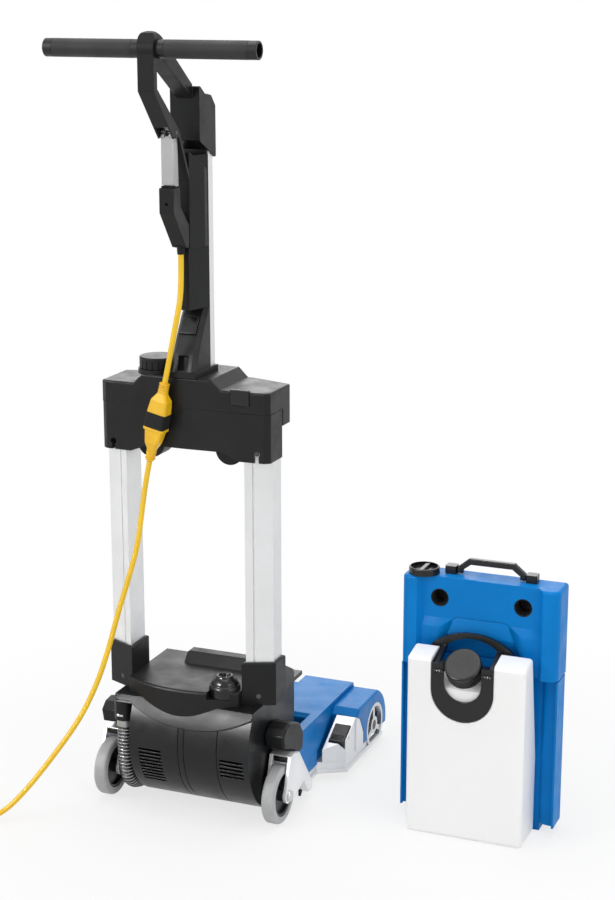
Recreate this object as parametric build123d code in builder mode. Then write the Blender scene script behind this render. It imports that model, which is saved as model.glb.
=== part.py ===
from build123d import *
import math
import os

# Upright floor scrubber with its lift-out tank standing beside it, in millimetres.
# X is to the operator's right, Y is the way of travel, Z is up.
# The origin is on the floor, midway between the two wheels.

# Clearances
run_gap = 0.05
slip_gap = 0.2
free_gap = 0.3
loose_gap = 0.5

# Wheels and forks
wheel_r = 44.0
wheel_width = 19.4
wheel_x = 138.6
tyre_round = 4.0
rim_r = 33.0
rim_width = 15.0
rim_recess = 5.0
rim_lip = 4.0
hub_r = 10.0
axle_r = 5.0
axle_head_r = 8.5
axle_head = 5.0
fork_gap = 2.4
fork_plate = 5.0
fork_top_z = 102.0
fork_bridge = 11.0
fork_y0 = 9.0
fork_y1 = 29.0
fork_eye_r = 12.0
gusset_top_y = 41.0
gusset_top_z = 98.0
gusset_y = 79.0
gusset_z = 48.0
gusset_foot_y = 24.0
gusset_foot_z = 33.0

# Upright pivot
pivot_y = 50.0
pivot_z = 118.0
pivot_cap_r = 25.0
pivot_cap_x0 = 121.0
pivot_cap_x1 = 150.0
pivot_cap_rear = 57.0
pivot_cap_front = 24.0
pivot_cap_top = 31.0
pivot_cap_drop = 30.0
pivot_pin_r = 10.0
pivot_depth = 14.0
sleeve_r = 14.0
sleeve_bore_r = 9.0

# Brush and its drive
brush_y = 305.0
brush_z = 42.0
bristle_r = 41.0
bristle_root_r = 25.0
brush_core_r = 22.0
brush_shaft_r = 8.0
brush_left = -116.0
brush_right = 166.0
bristle_rings = 20
bristles_per_ring = 20
bristle_side = 2.4
belt_x = -130.0
belt_width = 9.0
belt_thick = 2.0
drive_pulley_r = 9.0
brush_pulley_r = 18.0
motor_shaft_r = 5.0
tunnel_r = 45.5
hood_r = 50.0
end_opening_r = 37.0
end_ring = 6.0
end_hub_r = 14.0

# Base frame of the head
base_z0 = 12.0
base_lip_z = 18.0
base_z1 = 30.0
lip_step = 2.5
rail_x0 = 121.0
rail_x1 = 140.0
rail_rear_y = 92.0
base_rear_y = 125.0
bulge_y0 = 154.0
bulge_y1 = 178.0
head_half = 180.0
ramp_y0 = 158.0
ramp_z0 = 51.0
ramp_y1 = 222.0
ramp_z1 = 86.0
bulge_x0 = 146.0
trim_y0 = 236.0
trim_z0 = 79.0
trim_y1 = 253.0
trim_z1 = 50.0
base_front_y = 358.0
blade_thick = 4.0
rear_blade_y = 128.0
front_blade_y = 354.0
front_blade_half = 150.0
opening_gap = 3.0

# Blue covers of the head
cover_top_z = 103.0
cover_rear_y = 166.0
cover_front_y = 328.0
cover_half = 135.7
cover_wall = 3.0
cover_nose = 6.0
valley_half = 52.0
valley_z = 86.0
side_panel_x = 141.0
end_block_top_z = 96.0
end_plate = 8.0
panel_rear_y = 66.0
panel_rear_z = 86.0
panel_foot_y = 102.0
panel_top_y = 80.0

# Pedal on the right bulge
pedal_x = 163.0
pedal_width = 25.0
pedal_length = 36.0
pedal_thick = 11.0
pedal_proud = 3.0
pedal_pin_r = 2.0
pedal_well = 12.0

# Motor housing
floor_gap = 6.0
barrel_left = -76.0
barrel_right = 118.0
housing_wall = 4.0
housing_front_y = 150.0
housing_step_x = 88.0
housing_step_y = 112.0
roof_z = 184.0
roof_lip = 6.0
roof_lip_y = 145.0
shoulder = 12.0
shoulder_left = 106.0
shoulder_front_y = 97.0
side_block_x = 124.0
side_block_y = 98.0
side_block_z = 224.0
side_block_low_z = 206.0
skirt_thick = 3.0
skirt_end_z = 176.0
skirt_mid_z = 150.0
skirt_mid_x = 20.0
skirt_left_x = -80.0
trunnion_r = 20.0
seam_width = 1.2
seam_depth = 1.4
seam_xs = (4.0, 13.5, 67.0)
left_vent = (-61.0, -24.0, 53.0, 10, 6.0)
right_vent = (71.0, 109.0, 84.0, 5, 6.3)
vent_slot = 3.7
brush_motor_r = 42.0
brush_motor_x1 = 30.0
motor_flange_r = 54.0
motor_flange = 6.0
suction_motor_r = 46.0
suction_motor_x0 = 40.0
suction_flange_x0 = 96.0

# Deck
deck_z = 208.0
deck_side_y = -32.0
deck_rear_y = -54.0
deck_round = 4.0
apron_z = 164.0
hump_round = 3.0
hump_x0 = -38.0
hump_edge = 9.4
hump_y0 = 51.0
hump_y1 = 88.0
hump_z = 223.0
valve_edge = 3.6
valve_y = -20.0
valve_base_r = 23.0
valve_base = 16.0
valve_neck_r = 21.0
valve_top_r = 10.0
valve_lip = 4.5
valve_notch_half = 17.0
valve_notch_z = 197.0
valve_top_z = 226.0
valve_sink = 10.0
poppet_r = 6.0
poppet_travel = 5.0

# Columns and their sockets
column_inset = 1.6
column_width = 37.4
column_rear_y = -13.2
column_side_y = 3.3
column_front_y = 32.5
column_wall = 2.5
column_bottom_z = 186.0
column_top_z = 575.0
column_groove = 2.6
column_groove_x = 11.5
column_groove_depth = 1.6
socket_wall = 4.3
socket_gap = 0.3
socket_top_z = 250.0
screw_in = 16.5
screw_head_r = 3.6
screw_head = 2.4
screw_sink = 2.0
screw_shank_r = 2.0
socket_screw_z = 198.0
box_screw_rise = 12.0
screw_slot_half = 2.5
screw_slot_room = 1.2

# Box at the top of the columns
box_half = 133.0
box_facet = 8.0
box_facet_y = -14.0
box_rear_y = -18.0
box_side_y = -8.0
box_bottom_z = 552.5
box_arch_z = 564.0
box_arch_inset = 6.0
box_arch_slope = 32.0
box_seam_z = 623.0
box_top_z = 654.0
box_crown_z = 668.0
shell_front_y = 36.0
overhang_z = 598.0
overhang_side_y = 62.0
overhang_mid_y = 83.0
overhang_front_y = 88.0
box_wall = 3.0
box_floor = 4.0
box_round = 4.0
crown_left = -80.0
crown_right = 58.0
crown_slope = 15.0
spigot_edge = 31.5
spigot_z = 562.0
spigot_r = 19.0
spigot_bore_r = 13.5
spigot_rear_y = 8.0
spigot_front_y = 45.0
spigot_boss = 2.5
latch_edge = 22.0
latch_width = 29.0
latch_z0 = 634.0
latch_z1 = 657.0
latch_rear_y = -16.2
latch_thick = 4.0
latch_travel = 3.0
cap_x = -54.0
cap_y = 16.0
cap_r = 27.0
cap_height = 17.0
cap_wall = 2.7
cap_ribs = 18
cap_rib_r = 1.6
neck_r = 29.0
neck_height = 5.5
filter_r = 19.0
filter_z0 = 628.0

# Mast
mast_half = 20.0
mast_rear_half = 7.5
mast_rear_y = -4.0
mast_mid_y = 37.0
mast_front_y = 53.0
mast_wall = 2.2
collar_half = 23.0
collar_rear_y = -21.0
collar_front_y = 56.0
collar_z1 = 676.0
console_top_z = 764.0
console_rear_y = -17.0
console_knee = (-9.0, 700.0)
console_half = 20.0
console_edge = 6.0
console_end_y = 29.0
switch_low = (3.0, 724.0)
switch_high = (20.0, 752.0)
switch_width = 25.0
switch_length = 26.0
switch_thick = 8.0
switch_pin_r = 1.4
switch_proud = 2.5
hook_half = 8.0
hook_depth = 9.0
hook_length = 22.0
mast_cover_drop = 28.0
casing_half = 22.5
casing_rear_y = 6.0
casing_front_y = 58.0
bracket_rise = 5.0
bracket_height = 133.0
bracket_wall = 4.0
bracket_front_y = 30.0

# Handle
bar_half = 157.4
bar_r = 12.5
bar_bore_r = 9.5
bar_y = -95.0
bar_z = 1128.0
grip_x0 = 24.0
grip_x1 = 144.0
grip_depth = 1.3
arm_half = 12.0
arm_thick = 10.0
hub_round_r = 17.5
hub_rise = 23.0
crest_round = 9.0
arm_rear_y = -111.0
mast_drop = 120.0
arm_bend_drop = 55.0
front_arm_y = 6.0
front_arm_drop = 51.0
front_arm_thick = 19.0
hinge_y = -45.0
hinge_drop = 113.0
hinge_eye_r = 8.0
lever_half = 9.2
lever_length = 71.0
lever_sheet = 2.0
lever_depth = 13.0
lever_tip_depth = 8.0
lever_eye_r = 6.0
lever_swing = 4.2
lever_pin_r = 2.5
brace_thick = 5.0
switch_arm_half = 11.0
gland_y = -14.0
gland_rise = 14.0
gland_length = 22.0
gland_r0 = 6.4
gland_r1 = 5.0

# Suction hose
hose_x = -100.0
hose_y = -26.0
hose_r = 12.8
hose_valley_r = 10.9
hose_bore_r = 9.6
hose_top_z = 151.0
hose_low_z = 20.0
hose_bend_r = 52.0
hose_rib_pitch = 5.4
hose_plain = 26.0
elbow_r = 16.0
elbow_z0 = 138.0
spigot_tail = 14.0

# Cord
cord_r = 4.0
cord_length = 10000.0
connector_top = (-20.4, -31.0, 661.5)
connector_bottom = (-46.9, -31.0, 545.9)
connector_body = 45.0
strap_length = 22.0
coil_centre = (-365.0, -202.0)
coil_outer_r = 93.5
coil_pitch = 8.85
coil_layer_turns = 5
coil_layers = 4
coil_lift = 2.0
coil_start_deg = -8.0
coil_tail_r = 70.0
tie_width = 14.0
tie_thick = 1.6
plug_half = 12.0
plug_length = 38.0

# Tank beside the machine
tank_x = 414.0
tank_half = 118.0
bottle_x = -3.0
bottle_half = 88.0
bottle_rear_y = 43.6
bottle_front_y = 115.8
bottle_lean_z = 120.0
bottle_top_y = 84.0
bottle_top_z = 281.0
bottle_rear_z = 273.0
bottle_round = 6.0
bottle_wall = 2.5
bottle_neck_x = -8.0
bottle_neck_y = 66.0
bottle_neck_z = 246.0
bottle_neck_r = 20.0
bottle_neck = 30.0
bottle_neck_tilt = 50.0
mouth_drop = 32.0
bottle_cap_r = 27.0
bottle_cap = 24.0
bottle_cap_ribs = 36
notch_half = 47.0
notch_z = 226.0
notch_floor_y = 72.0
notch_rise = 24.0
yoke_outer_r = 46.0
yoke_inner_r = 28.2
yoke_z = 229.0
yoke_inner_z = 241.0
yoke_top_z = 268.0
yoke_thick = 4.0
lug_drop = 14.0
lug_width = 9.0
lug_wall = 4.5
liner_in = 44.6
liner_thick = 2.0
bail_half = 61.0
bail_y = 91.5
bail_top_z = 302.0
bail_rise = 22.0
bail_foot = 6.0
bail_thick = 7.5
bail_depth = 6.0
bail_arm = 6.0
bail_pin_y = 53.0
bail_pin_z = 262.0
bail_pin_r = 2.5
tank_rear_y = bottle_front_y + slip_gap
tank_front_y = 148.0
tank_top_z = 241.0
tank_wall = 3.0
wing_inner_x = 93.0
wing_lip_y = 99.0
wing_bulge = 9.0
wing_fin = 3.0
wing_bottom_z = 14.0
seal_thick = 2.0
lid_height = 135.0
lid_rear_y = 92.0
lid_panel_y = 103.0
lid_pillar_x = 95.0
lid_pillar_face = 86.0
lid_corner = 13.0
lid_round = 5.0
recess_half = 74.0
recess_mid_half = 37.0
recess_z = 292.0
recess_top_z = 319.0
port_rise = 103.0
port_r = 13.5
port_depth = 28.0
knob_x = -90.0
knob_y = 113.0
knob_r = 22.5
knob_height = 10.0
knob_stem_r = 9.0
carry_x = 8.0
carry_y = 128.0
carry_half = 52.0
carry_top_half = 34.0
carry_rise = 25.0
carry_bar = 9.0
carry_pin_rise = 6.0
carry_pin_r = 3.0
clip_half = 8.3
clip_rise = 12.0

# Sizes that follow from the ones above
column_outer_x = box_half - column_inset
column_inner_x = column_outer_x - column_width
deck_half = column_inner_x - socket_wall - socket_gap
hump_x1 = deck_half - hump_edge
valve_x = deck_half - valve_base_r - valve_edge
box_facet_x = box_half - box_facet
box_arch_half = column_inner_x - box_arch_inset
box_arch_flat = box_arch_half - box_arch_slope
spigot_x = column_inner_x - spigot_edge
port_x = spigot_x
latch_x1 = box_facet_x - latch_edge
latch_x0 = latch_x1 - latch_width
cap_bottom_z = box_crown_z + neck_height
cap_top_z = cap_bottom_z + cap_height
hub_top_z = bar_z + hub_rise
mast_top_z = bar_z - mast_drop
mast_cover_top_z = mast_top_z - mast_cover_drop
bracket_z1 = mast_cover_top_z + bracket_rise
bracket_z0 = bracket_z1 - bracket_height
arm_bend_z = bar_z - arm_bend_drop
front_arm_end = (front_arm_y, bar_z - front_arm_drop)
hinge_z = bar_z - hinge_drop
lever_bottom_z = hinge_z - lever_length
gland_top_z = bracket_z0 + gland_rise
gland_bottom_z = gland_top_z - gland_length
lid_z0 = tank_top_z + seal_thick
lid_top_z = lid_z0 + lid_height
port_z = lid_z0 + port_rise
carry_pivot_z = lid_top_z + carry_pin_rise
carry_top_z = lid_top_z + carry_rise

os.makedirs("parts", exist_ok=True)
sides = (("left", -1), ("right", 1))


# Planes square to each axis, with their local axes along the other two.
def plane_x(x):
    return Plane.YZ.offset(x)


def plane_y(y):
    return Plane.XZ.offset(-y)


def plane_z(z):
    return Plane.XY.offset(z)


# A straight prism on a closed outline, drawn in by inset.
def slab(plane, points, amount, mode=Mode.ADD, inset=0.0):
    with BuildSketch(plane) as outline:
        with BuildLine():
            Polyline(*points, close=True)
        make_face()
        if inset:
            offset(amount=-inset, kind=Kind.INTERSECTION, mode=Mode.REPLACE)
    extrude(outline.sketch, amount=amount, mode=mode)


# A round bar square to a plane.
def rod(plane, centre, radius, amount, mode=Mode.ADD):
    with BuildSketch(plane) as disc:
        with Locations(centre):
            Circle(radius)
    extrude(disc.sketch, amount=amount, mode=mode)


# A box between two corners.
def block(low, high, mode=Mode.ADD):
    middle = [(a + b) / 2 for a, b in zip(low, high)]
    size = [b - a for a, b in zip(low, high)]
    with Locations(tuple(middle)):
        Box(*size, mode=mode)


# Both halves of an outline that is the same on each side of the middle.
def both_sides(points):
    return points + [(-x, y) for x, y in reversed(points) if x != 0]


# The outline of the belt round its two pulleys, grown by an extra amount.
def belt_hull(x, width, extra, mode):
    with BuildSketch(plane_x(x - width / 2)) as hull:
        with Locations((pivot_y, pivot_z)):
            Circle(drive_pulley_r + extra)
        with Locations((brush_y, brush_z)):
            Circle(brush_pulley_r + extra)
        make_hull()
    extrude(hull.sketch, amount=width, mode=mode)


# Wheels: a rubber tyre on a rim with a long hub.
fork_inner_x = wheel_x - wheel_width / 2 - fork_gap
fork_outer_x = wheel_x + wheel_width / 2 + fork_gap
for side, sx in sides:
    with BuildPart() as tyre:
        rod(plane_x(sx * wheel_x - wheel_width / 2), (0, wheel_r), wheel_r, wheel_width)
        fillet(tyre.edges().filter_by(GeomType.CIRCLE), tyre_round)
        rod(plane_x(sx * wheel_x - wheel_width / 2), (0, wheel_r), rim_r, wheel_width, Mode.SUBTRACT)
    tyre.part.label = f"tyre_{side}"
    export_step(tyre.part, f"parts/tyre_{side}.step")

    hub_length = fork_outer_x - fork_inner_x - 2 * free_gap
    with BuildPart() as rim:
        rod(plane_x(sx * wheel_x - rim_width / 2), (0, wheel_r), rim_r, rim_width)
        for face_x in (-rim_width / 2, rim_width / 2 - rim_recess):
            rod(plane_x(sx * wheel_x + face_x), (0, wheel_r), rim_r - rim_lip, rim_recess, Mode.SUBTRACT)
        rod(plane_x(sx * wheel_x - hub_length / 2), (0, wheel_r), hub_r, hub_length)
        rod(plane_x(sx * wheel_x - hub_length), (0, wheel_r), axle_r + run_gap, 2 * hub_length, Mode.SUBTRACT)
    rim.part.label = f"rim_{side}"
    export_step(rim.part, f"parts/rim_{side}.step")

# Base frame: tray with a stepped lip, side bulges with a ramp, and the two wheel forks.
tray_outline = both_sides([
    (0, base_rear_y), (rail_x0, base_rear_y), (rail_x0, rail_rear_y), (rail_x1, rail_rear_y),
    (rail_x1, bulge_y0), (head_half, bulge_y1), (head_half, brush_y), (head_half, base_front_y - 16),
    (head_half - 8, base_front_y), (0, base_front_y)])
brush_slot = math.sqrt(tunnel_r ** 2 - (brush_z - base_z1) ** 2)
web_y = wheel_r + 6
ramp_slope = math.degrees(math.atan2(ramp_z1 - ramp_z0, ramp_y1 - ramp_y0))
pedal_y = (ramp_y0 + ramp_y1) / 2
pedal_z = (ramp_z0 + ramp_z1) / 2
ramp_plane = Plane(origin=(pedal_x, pedal_y, pedal_z), x_dir=(1, 0, 0),
                   z_dir=(0, ramp_z0 - ramp_z1, ramp_y1 - ramp_y0))
pedal_axis = ramp_plane.from_local_coords(Vector(0, 0, -pedal_thick / 2))
with BuildPart() as base_frame:
    slab(plane_z(base_z0), tray_outline, base_lip_z - base_z0)
    slab(plane_z(base_lip_z), tray_outline, base_z1 - base_lip_z, inset=lip_step)
    block((-head_half + end_plate, brush_y - brush_slot, 0), (head_half - end_plate, brush_y + brush_slot, base_z1),
          Mode.SUBTRACT)
    with BuildSketch(plane_x(head_half - end_plate)) as sill_face:
        with Locations((brush_y, brush_z)):
            Circle(end_opening_r)
        with Locations((brush_y, base_lip_z - end_opening_r)):
            Rectangle(4 * end_opening_r, 2 * end_opening_r, mode=Mode.SUBTRACT)
    extrude(sill_face.sketch, amount=2 * end_plate, mode=Mode.SUBTRACT)
    for side, sx in sides:
        bulge_outline = [(sx * bulge_x0, bulge_y0 + 4), (sx * (head_half - lip_step), bulge_y1 + 2),
                         (sx * (head_half - lip_step), ramp_y1), (sx * bulge_x0, ramp_y1)]
        slab(plane_z(base_z1), bulge_outline, ramp_z1 - base_z1)
        slab(plane_x(sx * rail_x0 if sx > 0 else -head_half),
             [(0, ramp_z0), (ramp_y0, ramp_z0), (ramp_y1, ramp_z1), (ramp_y1, fork_top_z), (0, fork_top_z)],
             head_half - rail_x0 if sx > 0 else head_half - rail_x0, Mode.SUBTRACT)
        slab(plane_x(sx * bulge_x0), [(ramp_y1 - 1, base_z1 - 1), (ramp_y1 - 1, ramp_z1 - 1), (ramp_y1, ramp_z1),
                                      (trim_y0, trim_z0), (trim_y1, trim_z1), (trim_y1, base_z1 - 1)],
             sx * (head_half - loose_gap - bulge_x0))
    for side, sx in sides:
        inner_face = sx * fork_inner_x
        slab(plane_x(inner_face), [(fork_y0, fork_top_z), (fork_y1, fork_top_z), (rail_rear_y + 8, base_z1),
                                   (rail_rear_y + 8, base_z0), (rail_rear_y - 4, base_z0), (fork_y0, 34),
                                   (-9, 40), (-9, 50)], -sx * fork_plate)
        rod(plane_x(inner_face), (0, wheel_r), fork_eye_r, -sx * fork_plate)
        outer_face = sx * fork_outer_x
        slab(plane_x(outer_face), [(fork_y0, fork_top_z), (gusset_top_y, gusset_top_z), (gusset_y, gusset_z),
                                   (gusset_foot_y, gusset_foot_z), (0, wheel_r - fork_eye_r + 1),
                                   (-fork_eye_r, wheel_r)], sx * fork_plate)
        rod(plane_x(outer_face), (0, wheel_r), fork_eye_r, sx * fork_plate)
        web_in = sx * (side_panel_x + free_gap)
        web_z = gusset_top_z - (gusset_top_z - gusset_z) * (web_y - gusset_top_y) / (gusset_y - gusset_top_y)
        slab(plane_x(web_in), [(web_y, web_z - 1), (gusset_y, gusset_z), (rail_rear_y + 10, base_z1 - 1),
                               (rail_rear_y + 10, base_z0), (rail_rear_y - 4, base_z0), (web_y, web_z - 20)],
             outer_face - web_in + sx)
        foot_in = sx * (rail_x1 - 6)
        block((min(foot_in, outer_face), rail_rear_y, base_z0),
              (max(foot_in, outer_face), rail_rear_y + 9, base_lip_z))
        bridge_in = sx * (fork_inner_x - fork_plate)
        bridge_out = sx * (fork_outer_x + fork_plate)
        block((min(bridge_in, bridge_out), fork_y0, fork_top_z - fork_bridge),
              (max(bridge_in, bridge_out), fork_y1, fork_top_z))
        rod(plane_x(2 * bridge_out), (0, wheel_r), axle_r, bridge_in - 2 * bridge_out, Mode.SUBTRACT)
    with Locations(ramp_plane):
        Box(pedal_width + 2 * loose_gap, pedal_length + 4 * loose_gap, 2 * pedal_well, mode=Mode.SUBTRACT)
    rod(plane_x(pedal_x - pedal_width), (pedal_axis.Y, pedal_axis.Z), pedal_pin_r, pedal_width * 1.6,
        Mode.SUBTRACT)
    rod(plane_y(base_rear_y), (hose_x, hose_low_z), hose_bore_r - free_gap, spigot_tail)
base_frame.part.label = "base_frame"
export_step(base_frame.part, "parts/base_frame.step")

# Pedal: a rocker on a pin in the right ramp.
with BuildPart() as pedal:
    with Locations(ramp_plane.offset(pedal_proud - pedal_thick / 2)):
        Box(pedal_width, pedal_length, pedal_thick)
    fillet(pedal.edges(), 1.2)
    rod(plane_x(pedal_x - pedal_width), (pedal_axis.Y, pedal_axis.Z), pedal_pin_r + run_gap, 2 * pedal_width,
        Mode.SUBTRACT)
pedal.part.label = "pedal"
export_step(pedal.part, "parts/pedal.step")

# Squeegee blades under the tray.
rear_blade_outline = both_sides([
    (0, rear_blade_y - blade_thick / 2), (rail_x0 + 1, rear_blade_y - blade_thick / 2),
    (rail_x1 - 7, rail_rear_y), (rail_x1 - 3, rail_rear_y), (rail_x0 + 6, rear_blade_y + blade_thick / 2),
    (0, rear_blade_y + blade_thick / 2)])
with BuildPart() as squeegee_blades:
    slab(plane_z(0), rear_blade_outline, base_z0)
    block((-front_blade_half, front_blade_y - blade_thick / 2, 0),
          (front_blade_half, front_blade_y + blade_thick / 2, base_z0))
squeegee_blades.part.label = "squeegee_blades"
export_step(squeegee_blades.part, "parts/squeegee_blades.step")

# Brush hood: a tunnel over the brush with a block at each end.
hood_foot = math.sqrt(hood_r ** 2 - (brush_z - base_z1) ** 2)
nose_r = end_block_top_z - brush_z + 1
nose_flat = 17.0
nose_foot = math.sqrt(nose_r ** 2 - (brush_z - base_z1) ** 2)
with BuildPart() as brush_hood:
    rod(plane_x(-head_half + end_plate), (brush_y, brush_z), hood_r, 2 * (head_half - end_plate))
    block((-head_half, 0, -hood_r), (head_half, base_front_y, base_z1), Mode.SUBTRACT)
    for side, sx in sides:
        start_x = cover_half + free_gap
        with BuildSketch(plane_x(sx * start_x)) as end_face:
            with BuildLine():
                Polyline((brush_y + nose_foot, base_z1), (ramp_y1, base_z1), (ramp_y1, ramp_z1),
                         (ramp_y1 + 12, end_block_top_z), (brush_y + nose_flat, end_block_top_z))
                ThreePointArc((brush_y + nose_flat, end_block_top_z),
                              (brush_y + nose_r * math.sin(math.radians(52)),
                               brush_z + nose_r * math.cos(math.radians(52))),
                              (brush_y + nose_foot, base_z1))
            make_face()
        extrude(amount=sx * (head_half - start_x))
    outer_edges = brush_hood.faces().filter_by(Axis.X).sort_by(Axis.X)
    fillet(outer_edges[0].edges().filter_by(lambda e: e.center().Z > base_z1 + 1), 4)
    outer_edges = brush_hood.faces().filter_by(Axis.X).sort_by(Axis.X)
    fillet(outer_edges[-1].edges().filter_by(lambda e: e.center().Z > base_z1 + 1), 4)
    rod(plane_x(-head_half + end_plate), (brush_y, brush_z), tunnel_r, 2 * (head_half - end_plate), Mode.SUBTRACT)
    rod(plane_x(head_half - 2 * end_plate), (brush_y, brush_z), end_opening_r, 3 * end_plate, Mode.SUBTRACT)
    rod(plane_x(-head_half - 1), (brush_y, brush_z), brush_shaft_r + run_gap, 2 * end_plate, Mode.SUBTRACT)
    belt_hull(belt_x, belt_width + 6, belt_thick + 3, Mode.SUBTRACT)
    for side, sx in sides:
        slab(plane_x(sx * (bulge_x0 - free_gap)), [
            (ramp_y1 - 1, base_z1 - 1), (ramp_y1 - 1, ramp_z1 + free_gap), (ramp_y1 + free_gap, ramp_z1 + free_gap),
            (trim_y0 + free_gap, trim_z0 + free_gap), (trim_y1 + free_gap, trim_z1 + free_gap),
            (trim_y1 + free_gap, base_z1 - 1)], sx * (head_half + 1 - bulge_x0), Mode.SUBTRACT)
brush_hood.part.label = "brush_hood"
export_step(brush_hood.part, "parts/brush_hood.step")

# Outline of the cap over the pivot, which slopes down to the front.
pivot_cap_outline = [
    (pivot_y - pivot_cap_rear, pivot_z + 19), (pivot_y - pivot_cap_rear + 5, pivot_z - 1),
    (fork_y1 + 2, fork_top_z + 1.5), (pivot_y + pivot_cap_front - 16, pivot_z - pivot_cap_drop),
    (pivot_y + pivot_cap_front - 3, pivot_z - pivot_cap_drop + 2), (pivot_y + pivot_cap_front, pivot_z - 2),
    (pivot_y + pivot_cap_front - 14, pivot_z + pivot_cap_top - 13),
    (pivot_y + pivot_cap_front - 51, pivot_z + pivot_cap_top),
    (pivot_y - pivot_cap_rear + 12, pivot_z + pivot_cap_top - 2)]

# Blue rear cover of the head: two raised arms, a low middle and side panels that seat the pivot caps.
hood_seat_r = hood_r + free_gap
seat_foot = math.sqrt(hood_seat_r ** 2 - (brush_z - base_z1) ** 2)
with BuildPart() as rear_cover:
    block((-valley_half, cover_rear_y, base_z1), (valley_half, brush_y, valley_z))
    for side, sx in sides:
        slab(plane_x(sx * valley_half), [
            (cover_rear_y, base_z1), (cover_rear_y, cover_top_z - cover_nose),
            (cover_rear_y + cover_nose, cover_top_z),
            (cover_front_y - cover_nose, cover_top_z), (cover_front_y, cover_top_z - 2 * cover_nose),
            (cover_front_y, base_z1)], sx * (cover_half - valley_half))
        slab(plane_x(sx * (rail_x0 + free_gap)), [
            (panel_rear_y, panel_rear_z), (panel_foot_y, base_z1), (ramp_y0 - 8, base_z1), (ramp_y0 - 8, ramp_z0),
            (ramp_y1 - free_gap, ramp_z1), (ramp_y1 - free_gap, cover_top_z), (panel_top_y, cover_top_z)],
            sx * (side_panel_x - rail_x0 - free_gap))
        slab(plane_y(0), [(sx * cover_half, cover_top_z + 1), (sx * (side_panel_x + 1), cover_top_z + 1),
                          (sx * (side_panel_x + 1), 60), (sx * side_panel_x, 60)], -base_front_y, Mode.SUBTRACT)
        slab(plane_x(sx * rail_x0), pivot_cap_outline, sx * (head_half - rail_x0), Mode.SUBTRACT, -free_gap)
        slab(plane_z(base_z1), [
            (sx * (valley_half + cover_wall), cover_rear_y + cover_wall),
            (sx * (cover_half - cover_wall), cover_rear_y + cover_wall),
            (sx * (cover_half - cover_wall), brush_y - seat_foot - cover_wall),
            (sx * (valley_half + cover_wall), brush_y - seat_foot - cover_wall)],
            cover_top_z - cover_wall - base_z1, Mode.SUBTRACT)
    rod(plane_x(-head_half), (brush_y, brush_z), hood_seat_r, 2 * head_half, Mode.SUBTRACT)
    block((-head_half, brush_y - 5, 0), (head_half, base_front_y, brush_z), Mode.SUBTRACT)
    for side, sx in sides:
        bulge_outline = [(sx * (bulge_x0 - 8), bulge_y0 - 3), (sx * head_half, bulge_y1), (sx * head_half, ramp_y1),
                         (sx * (bulge_x0 - free_gap), ramp_y1), (sx * (bulge_x0 - free_gap), bulge_y0 + 4)]
        slab(plane_z(0), bulge_outline, ramp_z1, Mode.SUBTRACT)
    belt_hull(belt_x, belt_width + 6, belt_thick + 3, Mode.SUBTRACT)
    with BuildSketch(plane_x(-side_panel_x - 1)) as guard_room:
        with Locations((pivot_y, pivot_z), (pivot_y + 100, pivot_z - 30)):
            Circle(pivot_cap_r + free_gap)
        make_hull()
    extrude(guard_room.sketch, amount=side_panel_x - rail_x0 + 1, mode=Mode.SUBTRACT)
rear_cover.part.label = "rear_cover"
export_step(rear_cover.part, "parts/rear_cover.step")

# Pivot: cap on the right, belt guard on the left.
with BuildPart() as pivot_cap:
    slab(plane_x(pivot_cap_x0), pivot_cap_outline, pivot_cap_x1 - pivot_cap_x0)
    fillet(pivot_cap.edges().filter_by(Axis.X), 6)
    fillet(pivot_cap.faces().sort_by(Axis.X)[-1].edges(), 4)
    rod(plane_x(pivot_cap_x0 - 1), (pivot_y, pivot_z), pivot_pin_r, pivot_cap_x1 - pivot_cap_x0 - 3, Mode.SUBTRACT)
pivot_cap.part.label = "pivot_cap"
export_step(pivot_cap.part, "parts/pivot_cap.step")

guard_wall = 4.0
with BuildPart() as belt_guard:
    with BuildSketch(plane_x(-pivot_cap_x1)) as guard_face:
        with Locations((pivot_y, pivot_z), (pivot_y + 100, pivot_z - 30)):
            Circle(pivot_cap_r)
        make_hull()
    extrude(guard_face.sketch, amount=pivot_cap_x1 - pivot_cap_x0)
    fillet(belt_guard.faces().sort_by(Axis.X)[0].edges(), 3)
    block((-cover_half, cover_rear_y - 12, 0), (-pivot_cap_x0, brush_y, cover_top_z + 10), Mode.SUBTRACT)
    slab(plane_x(-pivot_cap_x0), pivot_cap_outline, pivot_cap_x0 - pivot_cap_x1)
    belt_hull(belt_x - 1, belt_width + 6, belt_thick + 3, Mode.SUBTRACT)
    rod(plane_x(-pivot_cap_x0 - guard_wall), (pivot_y, pivot_z), sleeve_r, 2 * guard_wall, Mode.SUBTRACT)
    rod(plane_x(-pivot_cap_x0), (pivot_y, pivot_z), sleeve_bore_r, belt_x + pivot_cap_x0, Mode.SUBTRACT)
belt_guard.part.label = "belt_guard"
export_step(belt_guard.part, "parts/belt_guard.step")

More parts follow.
